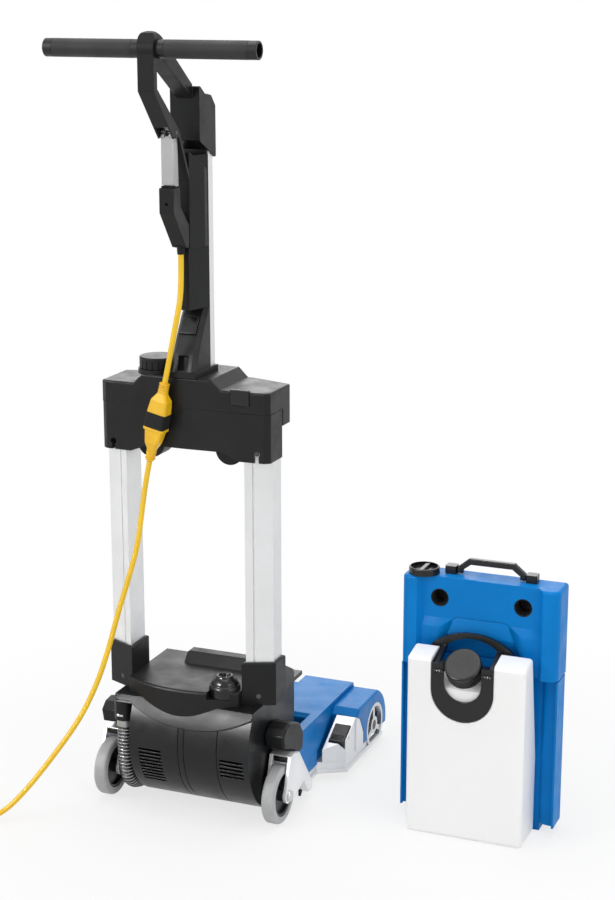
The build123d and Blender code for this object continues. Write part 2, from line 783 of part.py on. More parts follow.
# Steel pins of the head: axle bolts, pedal pin, pivot pin and the hollow pivot sleeve.
bolt_in = fork_inner_x - fork_plate
bolt_out = fork_outer_x + fork_plate
with BuildPart() as head_pins:
    for side, sx in sides:
        rod(plane_x(sx * bolt_out), (0, wheel_r), axle_head_r, sx * axle_head)
    fillet(head_pins.edges().filter_by(GeomType.CIRCLE).filter_by(lambda e: abs(e.center().X) > bolt_out + 1),
           axle_head / 2)
    for side, sx in sides:
        rod(plane_x(sx * bolt_in), (0, wheel_r), axle_r, sx * (bolt_out - bolt_in))
    rod(plane_x(pedal_x - pedal_width * 0.7), (pedal_axis.Y, pedal_axis.Z), pedal_pin_r, pedal_width * 1.3)
    rod(plane_x(barrel_right - pivot_depth), (pivot_y, pivot_z), pivot_pin_r,
        pivot_cap_x1 - 4 - barrel_right + pivot_depth)
    rod(plane_x(-pivot_cap_x0 - guard_wall + 2), (pivot_y, pivot_z), sleeve_r, pivot_depth + guard_wall)
    rod(plane_x(-pivot_cap_x0 - guard_wall), (pivot_y, pivot_z), sleeve_bore_r, pivot_depth + 3 * guard_wall,
        Mode.SUBTRACT)
head_pins.part.label = "head_pins"
export_step(head_pins.part, "parts/head_pins.step")

# Brush: core with its shaft ends and pulley, bristle sleeve, and the bearing ring at the open end.
with BuildPart() as brush_core:
    rod(plane_x(brush_left), (brush_y, brush_z), brush_core_r, brush_right - brush_left)
    rod(plane_x(-head_half + 1), (brush_y, brush_z), brush_shaft_r, 2 * head_half - 2)
    rod(plane_x(belt_x - belt_width / 2), (brush_y, brush_z), brush_pulley_r, belt_width)
brush_core.part.label = "brush_core"
export_step(brush_core.part, "parts/brush_core.step")

bristle_spots = []
ring_step = (brush_right - brush_left) / bristle_rings
for ring in range(bristle_rings):
    for spoke in range(bristles_per_ring):
        angle = 2 * math.pi * (spoke + ring % 2 / 2) / bristles_per_ring
        outward = Vector(0, math.cos(angle), math.sin(angle))
        middle = Vector(brush_left + (ring + 0.5) * ring_step, brush_y, brush_z)
        middle = middle + outward * ((bristle_root_r + bristle_r) / 2 - 1)
        bristle_spots.append(Location(Plane(origin=middle, x_dir=(1, 0, 0), z_dir=outward)))
with BuildPart() as bristles:
    rod(plane_x(brush_left), (brush_y, brush_z), bristle_root_r, brush_right - brush_left)
    with Locations(*bristle_spots):
        Box(bristle_side, bristle_side, bristle_r - bristle_root_r + 2)
    rod(plane_x(brush_left - 1), (brush_y, brush_z), brush_core_r, brush_right - brush_left + 2, Mode.SUBTRACT)
bristles.part.label = "bristles"
export_step(bristles.part, "parts/bristles.step")

with BuildPart() as end_bearing:
    rod(plane_x(head_half - end_plate), (brush_y, brush_z), end_opening_r - slip_gap, end_plate)
    rod(plane_x(head_half - 2 * end_plate), (brush_y, brush_z), end_opening_r - end_ring, 3 * end_plate,
        Mode.SUBTRACT)
    rod(plane_x(head_half - end_plate), (brush_y, brush_z), end_hub_r, end_plate - 1)
    for turn in (0, 120, 240):
        with Locations(Location((head_half - end_plate / 2, brush_y, brush_z), (turn, 0, 0))):
            with Locations((0, 0, (end_hub_r + end_opening_r - end_ring) / 2)):
                Box(end_plate - 3, 8, end_opening_r - end_ring - end_hub_r + 4)
    rod(plane_x(head_half - 2 * end_plate), (brush_y, brush_z), brush_shaft_r + run_gap, 3 * end_plate,
        Mode.SUBTRACT)
    block((head_half - 2 * end_plate, brush_y - end_opening_r, -base_z1),
          (head_half + end_plate, brush_y + end_opening_r, base_lip_z + slip_gap), Mode.SUBTRACT)
end_bearing.part.label = "end_bearing"
export_step(end_bearing.part, "parts/end_bearing.step")

# Belt and the motor's own pulley and shaft on the pivot axis.
with BuildPart() as drive_belt:
    belt_hull(belt_x, belt_width - 2, slip_gap + belt_thick, Mode.ADD)
    belt_hull(belt_x, 2 * belt_width, slip_gap, Mode.SUBTRACT)
drive_belt.part.label = "drive_belt"
export_step(drive_belt.part, "parts/drive_belt.step")

shaft_end_x = barrel_left + 50
with BuildPart() as motor_shaft:
    rod(plane_x(belt_x - belt_width / 2), (pivot_y, pivot_z), motor_shaft_r, shaft_end_x - belt_x + belt_width / 2)
    rod(plane_x(belt_x - belt_width / 2), (pivot_y, pivot_z), drive_pulley_r, belt_width)
motor_shaft.part.label = "motor_shaft"
export_step(motor_shaft.part, "parts/motor_shaft.step")

with BuildPart() as brush_motor:
    rod(plane_x(barrel_left + housing_wall), (pivot_y, pivot_z), motor_flange_r, motor_flange)
    rod(plane_x(barrel_left + housing_wall), (pivot_y, pivot_z), brush_motor_r,
        brush_motor_x1 - barrel_left - housing_wall)
    rod(plane_x(barrel_left), (pivot_y, pivot_z), motor_shaft_r + run_gap, shaft_end_x + 2 - barrel_left,
        Mode.SUBTRACT)
brush_motor.part.label = "brush_motor"
export_step(brush_motor.part, "parts/brush_motor.step")

with BuildPart() as suction_motor:
    rod(plane_x(suction_motor_x0), (pivot_y, pivot_z), suction_motor_r, suction_flange_x0 - suction_motor_x0)
    rod(plane_x(suction_flange_x0), (pivot_y, pivot_z), motor_flange_r,
        barrel_right - pivot_depth - suction_flange_x0)
suction_motor.part.label = "suction_motor"
export_step(suction_motor.part, "parts/suction_motor.step")

# Motor housing: a barrel round the pivot axis, with vents, seams and a shoulder that carries the upright.
barrel_r = pivot_z - floor_gap
socket_front_y = column_front_y + socket_wall + socket_gap
shoulder_z = roof_z - shoulder


def barrel_slice(x0, x1, radius, roof, front, mode):
    reach = 4 * barrel_r
    with BuildSketch(plane_x(x0)) as slice_face:
        with Locations((pivot_y, pivot_z)):
            Circle(radius)
        with Locations((pivot_y, roof + reach / 2), (front + reach / 2, pivot_z)):
            Rectangle(reach, reach, mode=Mode.SUBTRACT)
    extrude(slice_face.sketch, amount=x1 - x0, mode=mode)


def arc_y(radius, z):
    return pivot_y - math.sqrt(radius ** 2 - (z - pivot_z) ** 2)


with BuildPart() as motor_housing:
    barrel_slice(barrel_left, housing_step_x, barrel_r, roof_z, housing_front_y, Mode.ADD)
    barrel_slice(housing_step_x, barrel_right, barrel_r, roof_z, housing_step_y, Mode.ADD)
    block((housing_step_x - 1, shoulder_front_y, roof_z - roof_lip), (barrel_right, roof_lip_y, roof_z))
    slab(plane_x(-shoulder_left), [
        (arc_y(barrel_r, shoulder_z), shoulder_z), (arc_y(barrel_r, roof_z), roof_z), (shoulder_front_y, roof_z),
        (shoulder_front_y, shoulder_z)], shoulder_left + barrel_right)
    barrel_slice(barrel_left + housing_wall, housing_step_x - housing_wall, barrel_r - housing_wall,
                 roof_z - housing_wall, housing_front_y - housing_wall, Mode.SUBTRACT)
    barrel_slice(housing_step_x - housing_wall - 1, barrel_right - housing_wall, barrel_r - housing_wall,
                 roof_z - housing_wall, housing_step_y - housing_wall, Mode.SUBTRACT)
    rod(plane_x(barrel_left), (pivot_y, pivot_z), trunnion_r, -barrel_right - barrel_left)
    rod(plane_x(-barrel_right - 1), (pivot_y, pivot_z), sleeve_r + run_gap, pivot_depth + 1, Mode.SUBTRACT)
    rod(plane_x(-barrel_right - 1), (pivot_y, pivot_z), sleeve_bore_r, barrel_right + barrel_left + 6,
        Mode.SUBTRACT)
    rod(plane_x(barrel_right - housing_wall), (pivot_y, pivot_z), trunnion_r, housing_wall - pivot_depth)
    rod(plane_x(barrel_right - pivot_depth - 1), (pivot_y, pivot_z), pivot_pin_r + run_gap, 2 * pivot_depth,
        Mode.SUBTRACT)
    for seam_x in seam_xs:
        with BuildSketch(plane_x(seam_x - seam_width / 2)) as seam_ring:
            with Locations((pivot_y, pivot_z)):
                Circle(barrel_r + seam_depth)
                Circle(barrel_r - seam_depth, mode=Mode.SUBTRACT)
            with Locations((pivot_y + 2 * barrel_r, pivot_z)):
                Rectangle(4 * barrel_r, 4 * barrel_r, mode=Mode.SUBTRACT)
        extrude(seam_ring.sketch, amount=seam_width, mode=Mode.SUBTRACT)
    for x0, x1, z0, slots, pitch in (left_vent, right_vent):
        for slot in range(slots):
            slot_z = z0 + slot * pitch
            block((x0, pivot_y - barrel_r - 5, slot_z), (x1, pivot_y - barrel_r / 2, slot_z + vent_slot),
                  Mode.SUBTRACT)
    slab(plane_x(deck_half + socket_gap), [
        (socket_front_y, roof_z - 1), (socket_front_y, side_block_z), (socket_front_y + 24, side_block_z),
        (side_block_y - 4, side_block_low_z), (side_block_y, side_block_low_z - 6), (side_block_y, roof_z - 1)],
        side_block_x - deck_half - socket_gap)
    fillet(motor_housing.edges().filter_by(Axis.X).filter_by(lambda e: e.center().Z > roof_z + 4), 4)
motor_housing.part.label = "motor_housing"
export_step(motor_housing.part, "parts/motor_housing.step")

# Deck that carries the tank: a skirt that dips in the middle, a wedge at the front, a well for the coupling.
skirt_r = barrel_r + skirt_thick
with BuildPart() as deck:
    with BuildSketch(plane_y(-barrel_r)) as skirt_face:
        with BuildLine():
            Polyline((skirt_left_x, skirt_end_z), (-shoulder_left, skirt_end_z), (-shoulder_left, roof_z),
                     (barrel_right, roof_z), (barrel_right, skirt_end_z))
            ThreePointArc((barrel_right, skirt_end_z), (skirt_mid_x, skirt_mid_z), (skirt_left_x, skirt_end_z))
        make_face()
    extrude(skirt_face.sketch, amount=-(barrel_r + pivot_y))
    rod(plane_x(-barrel_right), (pivot_y, pivot_z), skirt_r, 2 * barrel_right, Mode.INTERSECT)
    with BuildSketch(plane_z(apron_z)) as apron_face:
        with BuildLine():
            Line((deck_half, deck_side_y), (-deck_half, deck_side_y))
            ThreePointArc((-deck_half, deck_side_y), (0, deck_rear_y), (deck_half, deck_side_y))
        make_face()
    extrude(apron_face.sketch, amount=roof_z - apron_z)
    rod(plane_x(-barrel_right), (pivot_y, pivot_z), barrel_r, 2 * barrel_right, Mode.SUBTRACT)
    with BuildSketch(plane_z(roof_z)) as deck_face:
        with BuildLine():
            Polyline((deck_half, deck_side_y), (deck_half, shoulder_front_y), (-deck_half, shoulder_front_y),
                     (-deck_half, deck_side_y))
            ThreePointArc((-deck_half, deck_side_y), (0, deck_rear_y), (deck_half, deck_side_y))
        make_face()
    extrude(deck_face.sketch, amount=deck_z - roof_z)
    fillet(deck.faces().sort_by(Axis.Z)[-1].edges().filter_by(lambda e: e.center().Y < deck_side_y), deck_round)
    slab(plane_x(hump_x0), [(hump_y0, deck_z - 1), (hump_y0 + 14, hump_z), (hump_y1 - 4, hump_z),
                            (hump_y1, deck_z - 1)], hump_x1 - hump_x0)
    fillet(deck.faces().sort_by(Axis.Z)[-1].edges(), hump_round)
    rod(plane_z(deck_z - valve_sink), (valve_x, valve_y), valve_base_r + slip_gap, 3 * valve_sink, Mode.SUBTRACT)
    block((valve_x - valve_notch_half, deck_rear_y - skirt_thick, valve_notch_z),
          (valve_x + valve_notch_half, valve_y, deck_z + 1), Mode.SUBTRACT)
deck.part.label = "deck"
export_step(deck.part, "parts/deck.step")

# Water coupling: seat with a stepped neck, and a sprung poppet in its bore.
valve_z = deck_z - valve_sink
with BuildPart() as valve_seat:
    rod(plane_z(valve_z), (valve_x, valve_y), valve_base_r, valve_base)
    fillet(valve_seat.faces().sort_by(Axis.Z)[-1].edges(), 3)
    with Locations((valve_x, valve_y, (valve_z + valve_base + valve_top_z - valve_lip) / 2)):
        Cone(valve_neck_r, valve_top_r + 1, valve_top_z - valve_lip - valve_z - valve_base)
    rod(plane_z(valve_top_z - valve_lip), (valve_x, valve_y), valve_top_r, valve_lip)
    fillet(valve_seat.faces().sort_by(Axis.Z)[-1].edges(), 1.5)
    rod(plane_z(valve_z + 3), (valve_x, valve_y), poppet_r + run_gap, valve_top_z, Mode.SUBTRACT)
valve_seat.part.label = "valve_seat"
export_step(valve_seat.part, "parts/valve_seat.step")

with BuildPart() as valve_poppet:
    rod(plane_z(valve_z + 3 + poppet_travel + 1), (valve_x, valve_y), poppet_r,
        valve_top_z - valve_z - poppet_travel - 7)
valve_poppet.part.label = "valve_poppet"
export_step(valve_poppet.part, "parts/valve_poppet.step")


# Columns: hollow extrusions with a slanted rear face, in sockets with a screw each.
def column_outline(sx):
    return [(sx * column_inner_x, column_rear_y), (sx * column_outer_x, column_side_y),
            (sx * column_outer_x, column_front_y), (sx * column_inner_x, column_front_y)]


face_slope = (column_side_y - column_rear_y) / column_width
face_run = math.hypot(1, face_slope)


# A plane on the slanted face of a column, a little way out from it, for its screws.
def screw_plane(sx, z, out):
    return Plane(origin=(sx * (column_inner_x + screw_in + out * face_slope / face_run),
                         column_rear_y + screw_in * face_slope - out / face_run, z),
                 x_dir=(0, 0, 1), z_dir=(sx * face_slope, -1, 0))


with BuildPart() as columns:
    for side, sx in sides:
        slab(plane_z(column_bottom_z), column_outline(sx), column_top_z - column_bottom_z)
        slab(plane_z(column_bottom_z), column_outline(sx), column_top_z - column_bottom_z,
             Mode.SUBTRACT, column_wall)
        groove_x = sx * (column_inner_x + column_groove_x)
        groove_y = column_rear_y + column_groove_x * face_slope
        block((groove_x - column_groove / 2, groove_y - column_groove, column_bottom_z),
              (groove_x + column_groove / 2, groove_y + column_groove_depth, column_top_z), Mode.SUBTRACT)
columns.part.label = "columns"
export_step(columns.part, "parts/columns.step")

with BuildPart() as column_sockets:
    for side, sx in sides:
        slab(plane_z(roof_z), column_outline(sx), socket_top_z - roof_z, inset=-socket_wall)
    chamfer(column_sockets.faces().filter_by(lambda f: f.center().Z > socket_top_z - 0.1).edges(), 1.5)
    for side, sx in sides:
        slab(plane_z(column_bottom_z), column_outline(sx), socket_top_z, Mode.SUBTRACT, -slip_gap)
        screw_seat = screw_plane(sx, socket_screw_z, socket_wall - screw_sink)
        rod(screw_seat, (0, 0), screw_shank_r + slip_gap, -socket_wall, Mode.SUBTRACT)
        rod(screw_seat, (0, 0), screw_head_r + slip_gap, screw_sink + screw_head, Mode.SUBTRACT)
column_sockets.part.label = "column_sockets"
export_step(column_sockets.part, "parts/column_sockets.step")

# Box at the top of the columns: lower shell and cover, which overhangs the tank in front.
box_rear = [(box_half, box_side_y), (box_facet_x, box_facet_y), (0, box_rear_y), (-box_facet_x, box_facet_y),
            (-box_half, box_side_y)]
shell_outline = box_rear + [(-box_half, shell_front_y), (box_half, shell_front_y)]
overhang_front = [(-box_half, overhang_side_y), (-box_half / 2, overhang_mid_y), (0, overhang_front_y),
                  (box_half / 2, overhang_mid_y), (box_half, overhang_side_y)]
cover_outline = box_rear + overhang_front
skirt_back_y = shell_front_y + free_gap
with BuildPart() as box_shell:
    slab(plane_z(box_bottom_z), shell_outline, box_seam_z - box_bottom_z)
    fillet(box_shell.edges().filter_by(Axis.Z), 3)
    slab(plane_y(box_rear_y - 1), [(-box_arch_half, box_bottom_z - 1), (-box_arch_flat, box_arch_z),
                                   (box_arch_flat, box_arch_z), (box_arch_half, box_bottom_z - 1)],
         -(shell_front_y - box_rear_y + 2), Mode.SUBTRACT)
    for side, sx in sides:
        rod(plane_y(spigot_rear_y - box_wall), (sx * spigot_x, spigot_z), spigot_r + spigot_boss,
            spigot_rear_y - box_wall - shell_front_y)
    slab(plane_z(box_arch_z + box_floor), shell_outline, box_seam_z, Mode.SUBTRACT, box_wall)
    for side, sx in sides:
        rod(plane_y(spigot_rear_y), (sx * spigot_x, spigot_z), spigot_r, spigot_rear_y - shell_front_y - 1,
            Mode.SUBTRACT)
        rod(plane_y(spigot_rear_y - 1), (sx * spigot_x, spigot_z + 6), spigot_bore_r - 4, -10, Mode.SUBTRACT)
        slab(plane_z(box_bottom_z - 1), column_outline(sx), column_top_z - box_bottom_z + 2,
             Mode.SUBTRACT, -slip_gap)
        screw_seat = screw_plane(sx, box_bottom_z + box_screw_rise, 0)
        rod(screw_seat, (0, 0), screw_head_r + screw_slot_room, column_width, Mode.SUBTRACT)
        slab(screw_seat, [(0, -screw_slot_half), (0, screw_slot_half), (-box_screw_rise - 1, screw_slot_half),
                          (-box_screw_rise - 1, -screw_slot_half)], column_width, Mode.SUBTRACT)
box_shell.part.label = "box_shell"
export_step(box_shell.part, "parts/box_shell.step")

with BuildPart() as box_cover:
    slab(plane_z(box_seam_z), cover_outline, box_crown_z - box_seam_z)
    slab(plane_z(overhang_z), [(-box_half, skirt_back_y)] + overhang_front + [(box_half, skirt_back_y)],
         box_seam_z - overhang_z)
    for edge_x, foot_x, brow_x in ((-box_half - 1, crown_left, crown_left + crown_slope),
                                   (box_half + 1, crown_right, crown_right - crown_slope)):
        slab(plane_y(box_rear_y - 1), [(edge_x, box_top_z), (foot_x, box_top_z), (brow_x, box_crown_z),
                                       (brow_x, box_crown_z + 1), (edge_x, box_crown_z + 1)],
             box_rear_y - overhang_front_y - 2, Mode.SUBTRACT)
    rim = box_cover.edges().filter_by(lambda e: e.center().Z > box_top_z - 0.1)
    fillet(rim.filter_by(lambda e: abs(e.center().X) > box_half - 1 or e.center().Y < column_side_y), box_round - 1)
    rod(plane_z(box_crown_z - 2), (cap_x, cap_y), neck_r, cap_bottom_z - box_crown_z + 1.5)
    rod(plane_z(box_crown_z), (cap_x, cap_y), cap_r - cap_wall - free_gap, cap_top_z - cap_wall - box_crown_z - 1)
    slab(plane_z(box_seam_z), cover_outline, box_top_z - box_wall - box_seam_z, Mode.SUBTRACT, box_wall)
    slab(plane_z(overhang_z - 1), [(-box_half, skirt_back_y)] + overhang_front + [(box_half, skirt_back_y)],
         box_top_z - box_wall - overhang_z, Mode.SUBTRACT, box_wall)
    rod(plane_z(box_seam_z), (cap_x, cap_y), filter_r + loose_gap, cap_top_z - box_seam_z, Mode.SUBTRACT)
    block((latch_x0 - loose_gap, box_rear_y - 5, latch_z0 - loose_gap),
          (latch_x1 + loose_gap, latch_rear_y + latch_thick + latch_travel + loose_gap, box_top_z + 5),
          Mode.SUBTRACT)
    block((latch_x0 - 4, latch_rear_y + latch_thick + latch_travel + loose_gap, latch_z0 - 4),
          (latch_x1 + 4, latch_rear_y + latch_thick + latch_travel + loose_gap + 2, box_top_z - 1))
box_cover.part.label = "box_cover"
export_step(box_cover.part, "parts/box_cover.step")

with BuildPart() as box_latch:
    block((latch_x0, latch_rear_y, latch_z0), (latch_x1, latch_rear_y + latch_thick, latch_z1))
    fillet(box_latch.edges(), 1)
    block((latch_x0 + 3, latch_rear_y + latch_thick, latch_z0 + 3),
          (latch_x1 - 3, latch_rear_y + latch_thick + latch_travel + loose_gap - latch_travel, latch_z0 + 7))
box_latch.part.label = "box_latch"
export_step(box_latch.part, "parts/box_latch.step")

with BuildPart() as filter_cap:
    rod(plane_z(cap_bottom_z), (cap_x, cap_y), cap_r, cap_top_z - cap_bottom_z)
    fillet(filter_cap.faces().sort_by(Axis.Z)[-1].edges(), 2)
    with Locations((cap_x, cap_y, (cap_bottom_z + cap_top_z) / 2 - 3)):
        with PolarLocations(cap_r + 0.2, cap_ribs):
            Cylinder(cap_rib_r, cap_top_z - cap_bottom_z - 4, mode=Mode.SUBTRACT)
    rod(plane_z(cap_bottom_z), (cap_x, cap_y), cap_r - cap_wall, cap_top_z - cap_bottom_z - cap_wall, Mode.SUBTRACT)
filter_cap.part.label = "filter_cap"
export_step(filter_cap.part, "parts/filter_cap.step")

with BuildPart() as air_filter:
    rod(plane_z(filter_z0), (cap_x, cap_y), filter_r, cap_top_z - cap_wall - 1 - filter_z0)
    rod(plane_z(filter_z0 - 1), (cap_x, cap_y), filter_r - 5, cap_top_z - cap_wall - 5 - filter_z0, Mode.SUBTRACT)
air_filter.part.label = "air_filter"
export_step(air_filter.part, "parts/air_filter.step")

with BuildPart() as suction_spigots:
    for side, sx in sides:
        rod(plane_y(spigot_rear_y), (sx * spigot_x, spigot_z), spigot_r, spigot_rear_y - spigot_front_y)
    fillet(suction_spigots.faces().filter_by(lambda f: f.center().Y > spigot_front_y - 0.1).edges(), 2)
    for side, sx in sides:
        rod(plane_y(spigot_rear_y - 1), (sx * spigot_x, spigot_z), spigot_bore_r, spigot_rear_y - spigot_front_y - 2,
            Mode.SUBTRACT)
suction_spigots.part.label = "suction_spigots"
export_step(suction_spigots.part, "parts/suction_spigots.step")

# Mast: collar and console, rocker switch, front extrusion and rear cover.
switch_plane = Plane(origin=(0, (switch_low[0] + switch_high[0]) / 2, (switch_low[1] + switch_high[1]) / 2),
                     x_dir=(1, 0, 0), z_dir=(0, switch_low[1] - switch_high[1], switch_high[0] - switch_low[0]))
switch_axis = switch_plane.from_local_coords(Vector(0, 0, -switch_thick / 4))
switch_pin_half = console_half - console_edge + 0.5
mast_rear_outline = [(-mast_half, mast_mid_y), (-mast_rear_half, mast_rear_y), (mast_rear_half, mast_rear_y),
                     (mast_half, mast_mid_y)]
hook_plane = Plane(origin=(0, (console_rear_y + console_knee[0]) / 2, (collar_z1 + console_knee[1]) / 2),
                   x_dir=(1, 0, 0), z_dir=(0, collar_z1 - console_knee[1], console_knee[0] - console_rear_y))
with BuildPart() as mast_cover:
    slab(plane_x(-console_half), [
        (console_rear_y, collar_z1 - 4), (console_rear_y, collar_z1), console_knee, switch_low, switch_high,
        (console_end_y, console_top_z), (mast_mid_y, console_top_z), (mast_mid_y, collar_z1 - 4)], 2 * console_half)
    flanks = mast_cover.edges().filter_by(lambda e: abs(e.center().X) > console_half - 0.1)
    chamfer(flanks.filter_by(lambda e: e.center().Y < console_end_y - 1 and e.center().Z > collar_z1), console_edge)
    slab(plane_z(console_top_z - 1), mast_rear_outline, mast_cover_top_z - console_top_z + 1)
    slab(plane_z(console_top_z + 3), mast_rear_outline, mast_cover_top_z - console_top_z, Mode.SUBTRACT, mast_wall)
    block((-collar_half, collar_rear_y, box_crown_z), (collar_half, collar_front_y, collar_z1))
    with Locations(hook_plane):
        Box(2 * hook_half, hook_length, 2 * hook_depth, mode=Mode.SUBTRACT)
    with Locations(switch_plane):
        Box(switch_width + 2 * loose_gap, switch_length + 2 * loose_gap, 3 * switch_thick, mode=Mode.SUBTRACT)
    rod(plane_x(-switch_pin_half), (switch_axis.Y, switch_axis.Z), switch_pin_r, 2 * switch_pin_half, Mode.SUBTRACT)
mast_cover.part.label = "mast_cover"
export_step(mast_cover.part, "parts/mast_cover.step")

with BuildPart() as power_switch:
    with Locations(switch_plane.offset(switch_proud - switch_thick / 2)):
        Box(switch_width, switch_length, switch_thick)
    fillet(power_switch.edges(), 1.5)
    rod(plane_x(-console_half), (switch_axis.Y, switch_axis.Z), switch_pin_r + run_gap, 2 * console_half,
        Mode.SUBTRACT)
power_switch.part.label = "power_switch"
export_step(power_switch.part, "parts/power_switch.step")

with BuildPart() as mast_extrusion:
    block((-mast_half, mast_mid_y, collar_z1), (mast_half, mast_front_y, mast_top_z))
    fillet(mast_extrusion.edges().filter_by(Axis.Z).sort_by(Axis.Y)[2:], 2)
    block((-mast_half + mast_wall, mast_mid_y + mast_wall, collar_z1),
          (mast_half - mast_wall, mast_front_y - mast_wall, mast_top_z), Mode.SUBTRACT)
mast_extrusion.part.label = "mast_extrusion"
export_step(mast_extrusion.part, "parts/mast_extrusion.step")

# Handle loop: casing on the mast, front arm, hub on the bar, rear arm down to the lever, brace to the bracket.
bracket_rear_y = mast_rear_y - bracket_wall
arm_run = math.hypot(front_arm_end[0] - bar_y, front_arm_end[1] - hub_top_z)
drop_y = -front_arm_thick * (hub_top_z - front_arm_end[1]) / arm_run
drop_z = -front_arm_thick * (front_arm_end[0] - bar_y) / arm_run
with BuildPart() as handle_loop:
    slab(plane_x(-casing_half), [
        (casing_rear_y, mast_top_z - 8), (casing_rear_y, front_arm_end[1]), (24, mast_top_z + 56), (44, mast_top_z + 53),
        (casing_front_y, mast_top_z + 38), (casing_front_y, mast_top_z - 35)], 2 * casing_half)
    fillet(handle_loop.edges().filter_by(Axis.X), 2.5)
    block((-mast_half - slip_gap, mast_mid_y - slip_gap, mast_top_z - 108), (mast_half + slip_gap, mast_front_y + slip_gap, mast_top_z),
          Mode.SUBTRACT)
    slab(plane_x(-arm_half), [
        (bar_y, hub_top_z), front_arm_end, (front_arm_end[0], front_arm_end[1] + 1.24 * drop_z),
        (bar_y + drop_y + 24, hub_top_z + 1.35 * drop_z - 16), (bar_y, bar_z)], 2 * arm_half)
    rod(plane_x(-arm_half), (bar_y, bar_z), hub_round_r, 2 * arm_half)
    slab(plane_x(-arm_half), [
        (arm_rear_y, arm_bend_z), (arm_rear_y, hub_top_z - 14), (bar_y - 9, hub_top_z - 2), (bar_y, hub_top_z),
        (bar_y, bar_z), (arm_rear_y + arm_thick, bar_z), (arm_rear_y + arm_thick, arm_bend_z + 3),
        (hinge_y + 3, hinge_z + hinge_eye_r), (hinge_y - 9, hinge_z - 8)], 2 * arm_half)
    rod(plane_x(-arm_half), (hinge_y, hinge_z), hinge_eye_r, 2 * arm_half)
    slab(plane_x(-arm_half), [
        (hinge_y + 4, hinge_z + hinge_eye_r - 2), (hinge_y + 9, hinge_z + 2), (bracket_rear_y, hinge_z - 58),
        (bracket_rear_y, hinge_z - 69),
        (hinge_y + 7, hinge_z - 7)], 2 * arm_half)
    with BuildSketch(plane_y(arm_rear_y - 1)) as crest_corners:
        with Locations((0, hub_top_z)):
            Rectangle(2 * arm_half + 2, 2 * crest_round)
        with Locations((0, hub_top_z - 2 * crest_round)):
            RectangleRounded(2 * arm_half, 4 * crest_round, crest_round, mode=Mode.SUBTRACT)
    extrude(crest_corners.sketch, amount=-4 * hub_round_r, mode=Mode.SUBTRACT)
    block((-lever_half - free_gap, hinge_y - 30, lever_bottom_z - 20),
          (lever_half + free_gap, hinge_y + lever_eye_r + lever_swing, hinge_z + lever_eye_r + 2), Mode.SUBTRACT)
    rod(plane_x(-bar_half), (bar_y, bar_z), bar_r, 2 * bar_half, Mode.SUBTRACT)
    rod(plane_x(-bar_half), (hinge_y, hinge_z), lever_pin_r, 2 * bar_half, Mode.SUBTRACT)
handle_loop.part.label = "handle_loop"
export_step(handle_loop.part, "parts/handle_loop.step")

with BuildPart() as t_bar:
    rod(plane_x(-bar_half), (bar_y, bar_z), bar_r, 2 * bar_half)
    fillet(t_bar.edges().filter_by(GeomType.CIRCLE), 1)
    for side, sx in sides:
        with BuildSketch(plane_x(sx * grip_x0)) as grip_step:
            with Locations((bar_y, bar_z)):
                Circle(bar_r + 1)
                Circle(bar_r - grip_depth, mode=Mode.SUBTRACT)
        extrude(grip_step.sketch, amount=sx * (grip_x1 - grip_x0), mode=Mode.SUBTRACT)
    rod(plane_x(-bar_half), (bar_y, bar_z), bar_bore_r, 2 * bar_half, Mode.SUBTRACT)
t_bar.part.label = "t_bar"
export_step(t_bar.part, "parts/t_bar.step")

with BuildPart() as grips:
    for side, sx in sides:
        rod(plane_x(sx * (grip_x0 + slip_gap)), (bar_y, bar_z), bar_r, sx * (grip_x1 - grip_x0 - 2 * slip_gap))
    fillet(grips.edges().filter_by(GeomType.CIRCLE), 0.5)
    for side, sx in sides:
        rod(plane_x(sx * grip_x0), (bar_y, bar_z), bar_r - grip_depth, sx * (grip_x1 - grip_x0), Mode.SUBTRACT)
grips.part.label = "grips"
export_step(grips.part, "parts/grips.step")

# Lever: a sheet channel on a pin, and the arm below it that holds the lead.
lever_rear_y = hinge_y - lever_eye_r
with BuildPart() as lever:
    slab(plane_x(-lever_half), [
        (lever_rear_y, hinge_z), (lever_rear_y, lever_bottom_z), (lever_rear_y + lever_tip_depth, lever_bottom_z),
        (lever_rear_y + lever_depth, hinge_z - 10), (hinge_y + lever_eye_r, hinge_z)], 2 * lever_half)
    rod(plane_x(-lever_half), (hinge_y, hinge_z), lever_eye_r, 2 * lever_half)
    slab(plane_x(-lever_half + lever_sheet), [
        (lever_rear_y + lever_sheet, hinge_z - lever_eye_r - 3), (lever_rear_y + lever_sheet, lever_bottom_z - 1),
        (0, lever_bottom_z - 1), (0, hinge_z - lever_eye_r - 3)], 2 * (lever_half - lever_sheet), Mode.SUBTRACT)
    block((-lever_half / 3, hinge_y - 30, hinge_z - lever_eye_r + 1),
          (lever_half / 3, hinge_y + 30, hinge_z + 30), Mode.SUBTRACT)
    rod(plane_x(-lever_half - 1), (hinge_y, hinge_z), lever_pin_r + run_gap, 2 * lever_half + 2, Mode.SUBTRACT)
lever.part.label = "lever"
export_step(lever.part, "parts/lever.step")

# Small steel pieces of the upright: lever pin, rocker pin and the column screws.
with BuildPart() as upright_pins:
    rod(plane_x(-arm_half), (hinge_y, hinge_z), lever_pin_r, 2 * arm_half)
    rod(plane_x(-switch_pin_half), (switch_axis.Y, switch_axis.Z), switch_pin_r, 2 * switch_pin_half)
    for side, sx in sides:
        screw_seat = screw_plane(sx, socket_screw_z, socket_wall - screw_sink)
        rod(screw_seat, (0, 0), screw_head_r, screw_sink - loose_gap)
        rod(screw_seat, (0, 0), screw_shank_r, screw_sink - socket_wall + slip_gap)
        rod(screw_plane(sx, box_bottom_z + box_screw_rise, 0), (0, 0), screw_head_r, screw_head)
upright_pins.part.label = "upright_pins"
export_step(upright_pins.part, "parts/upright_pins.step")

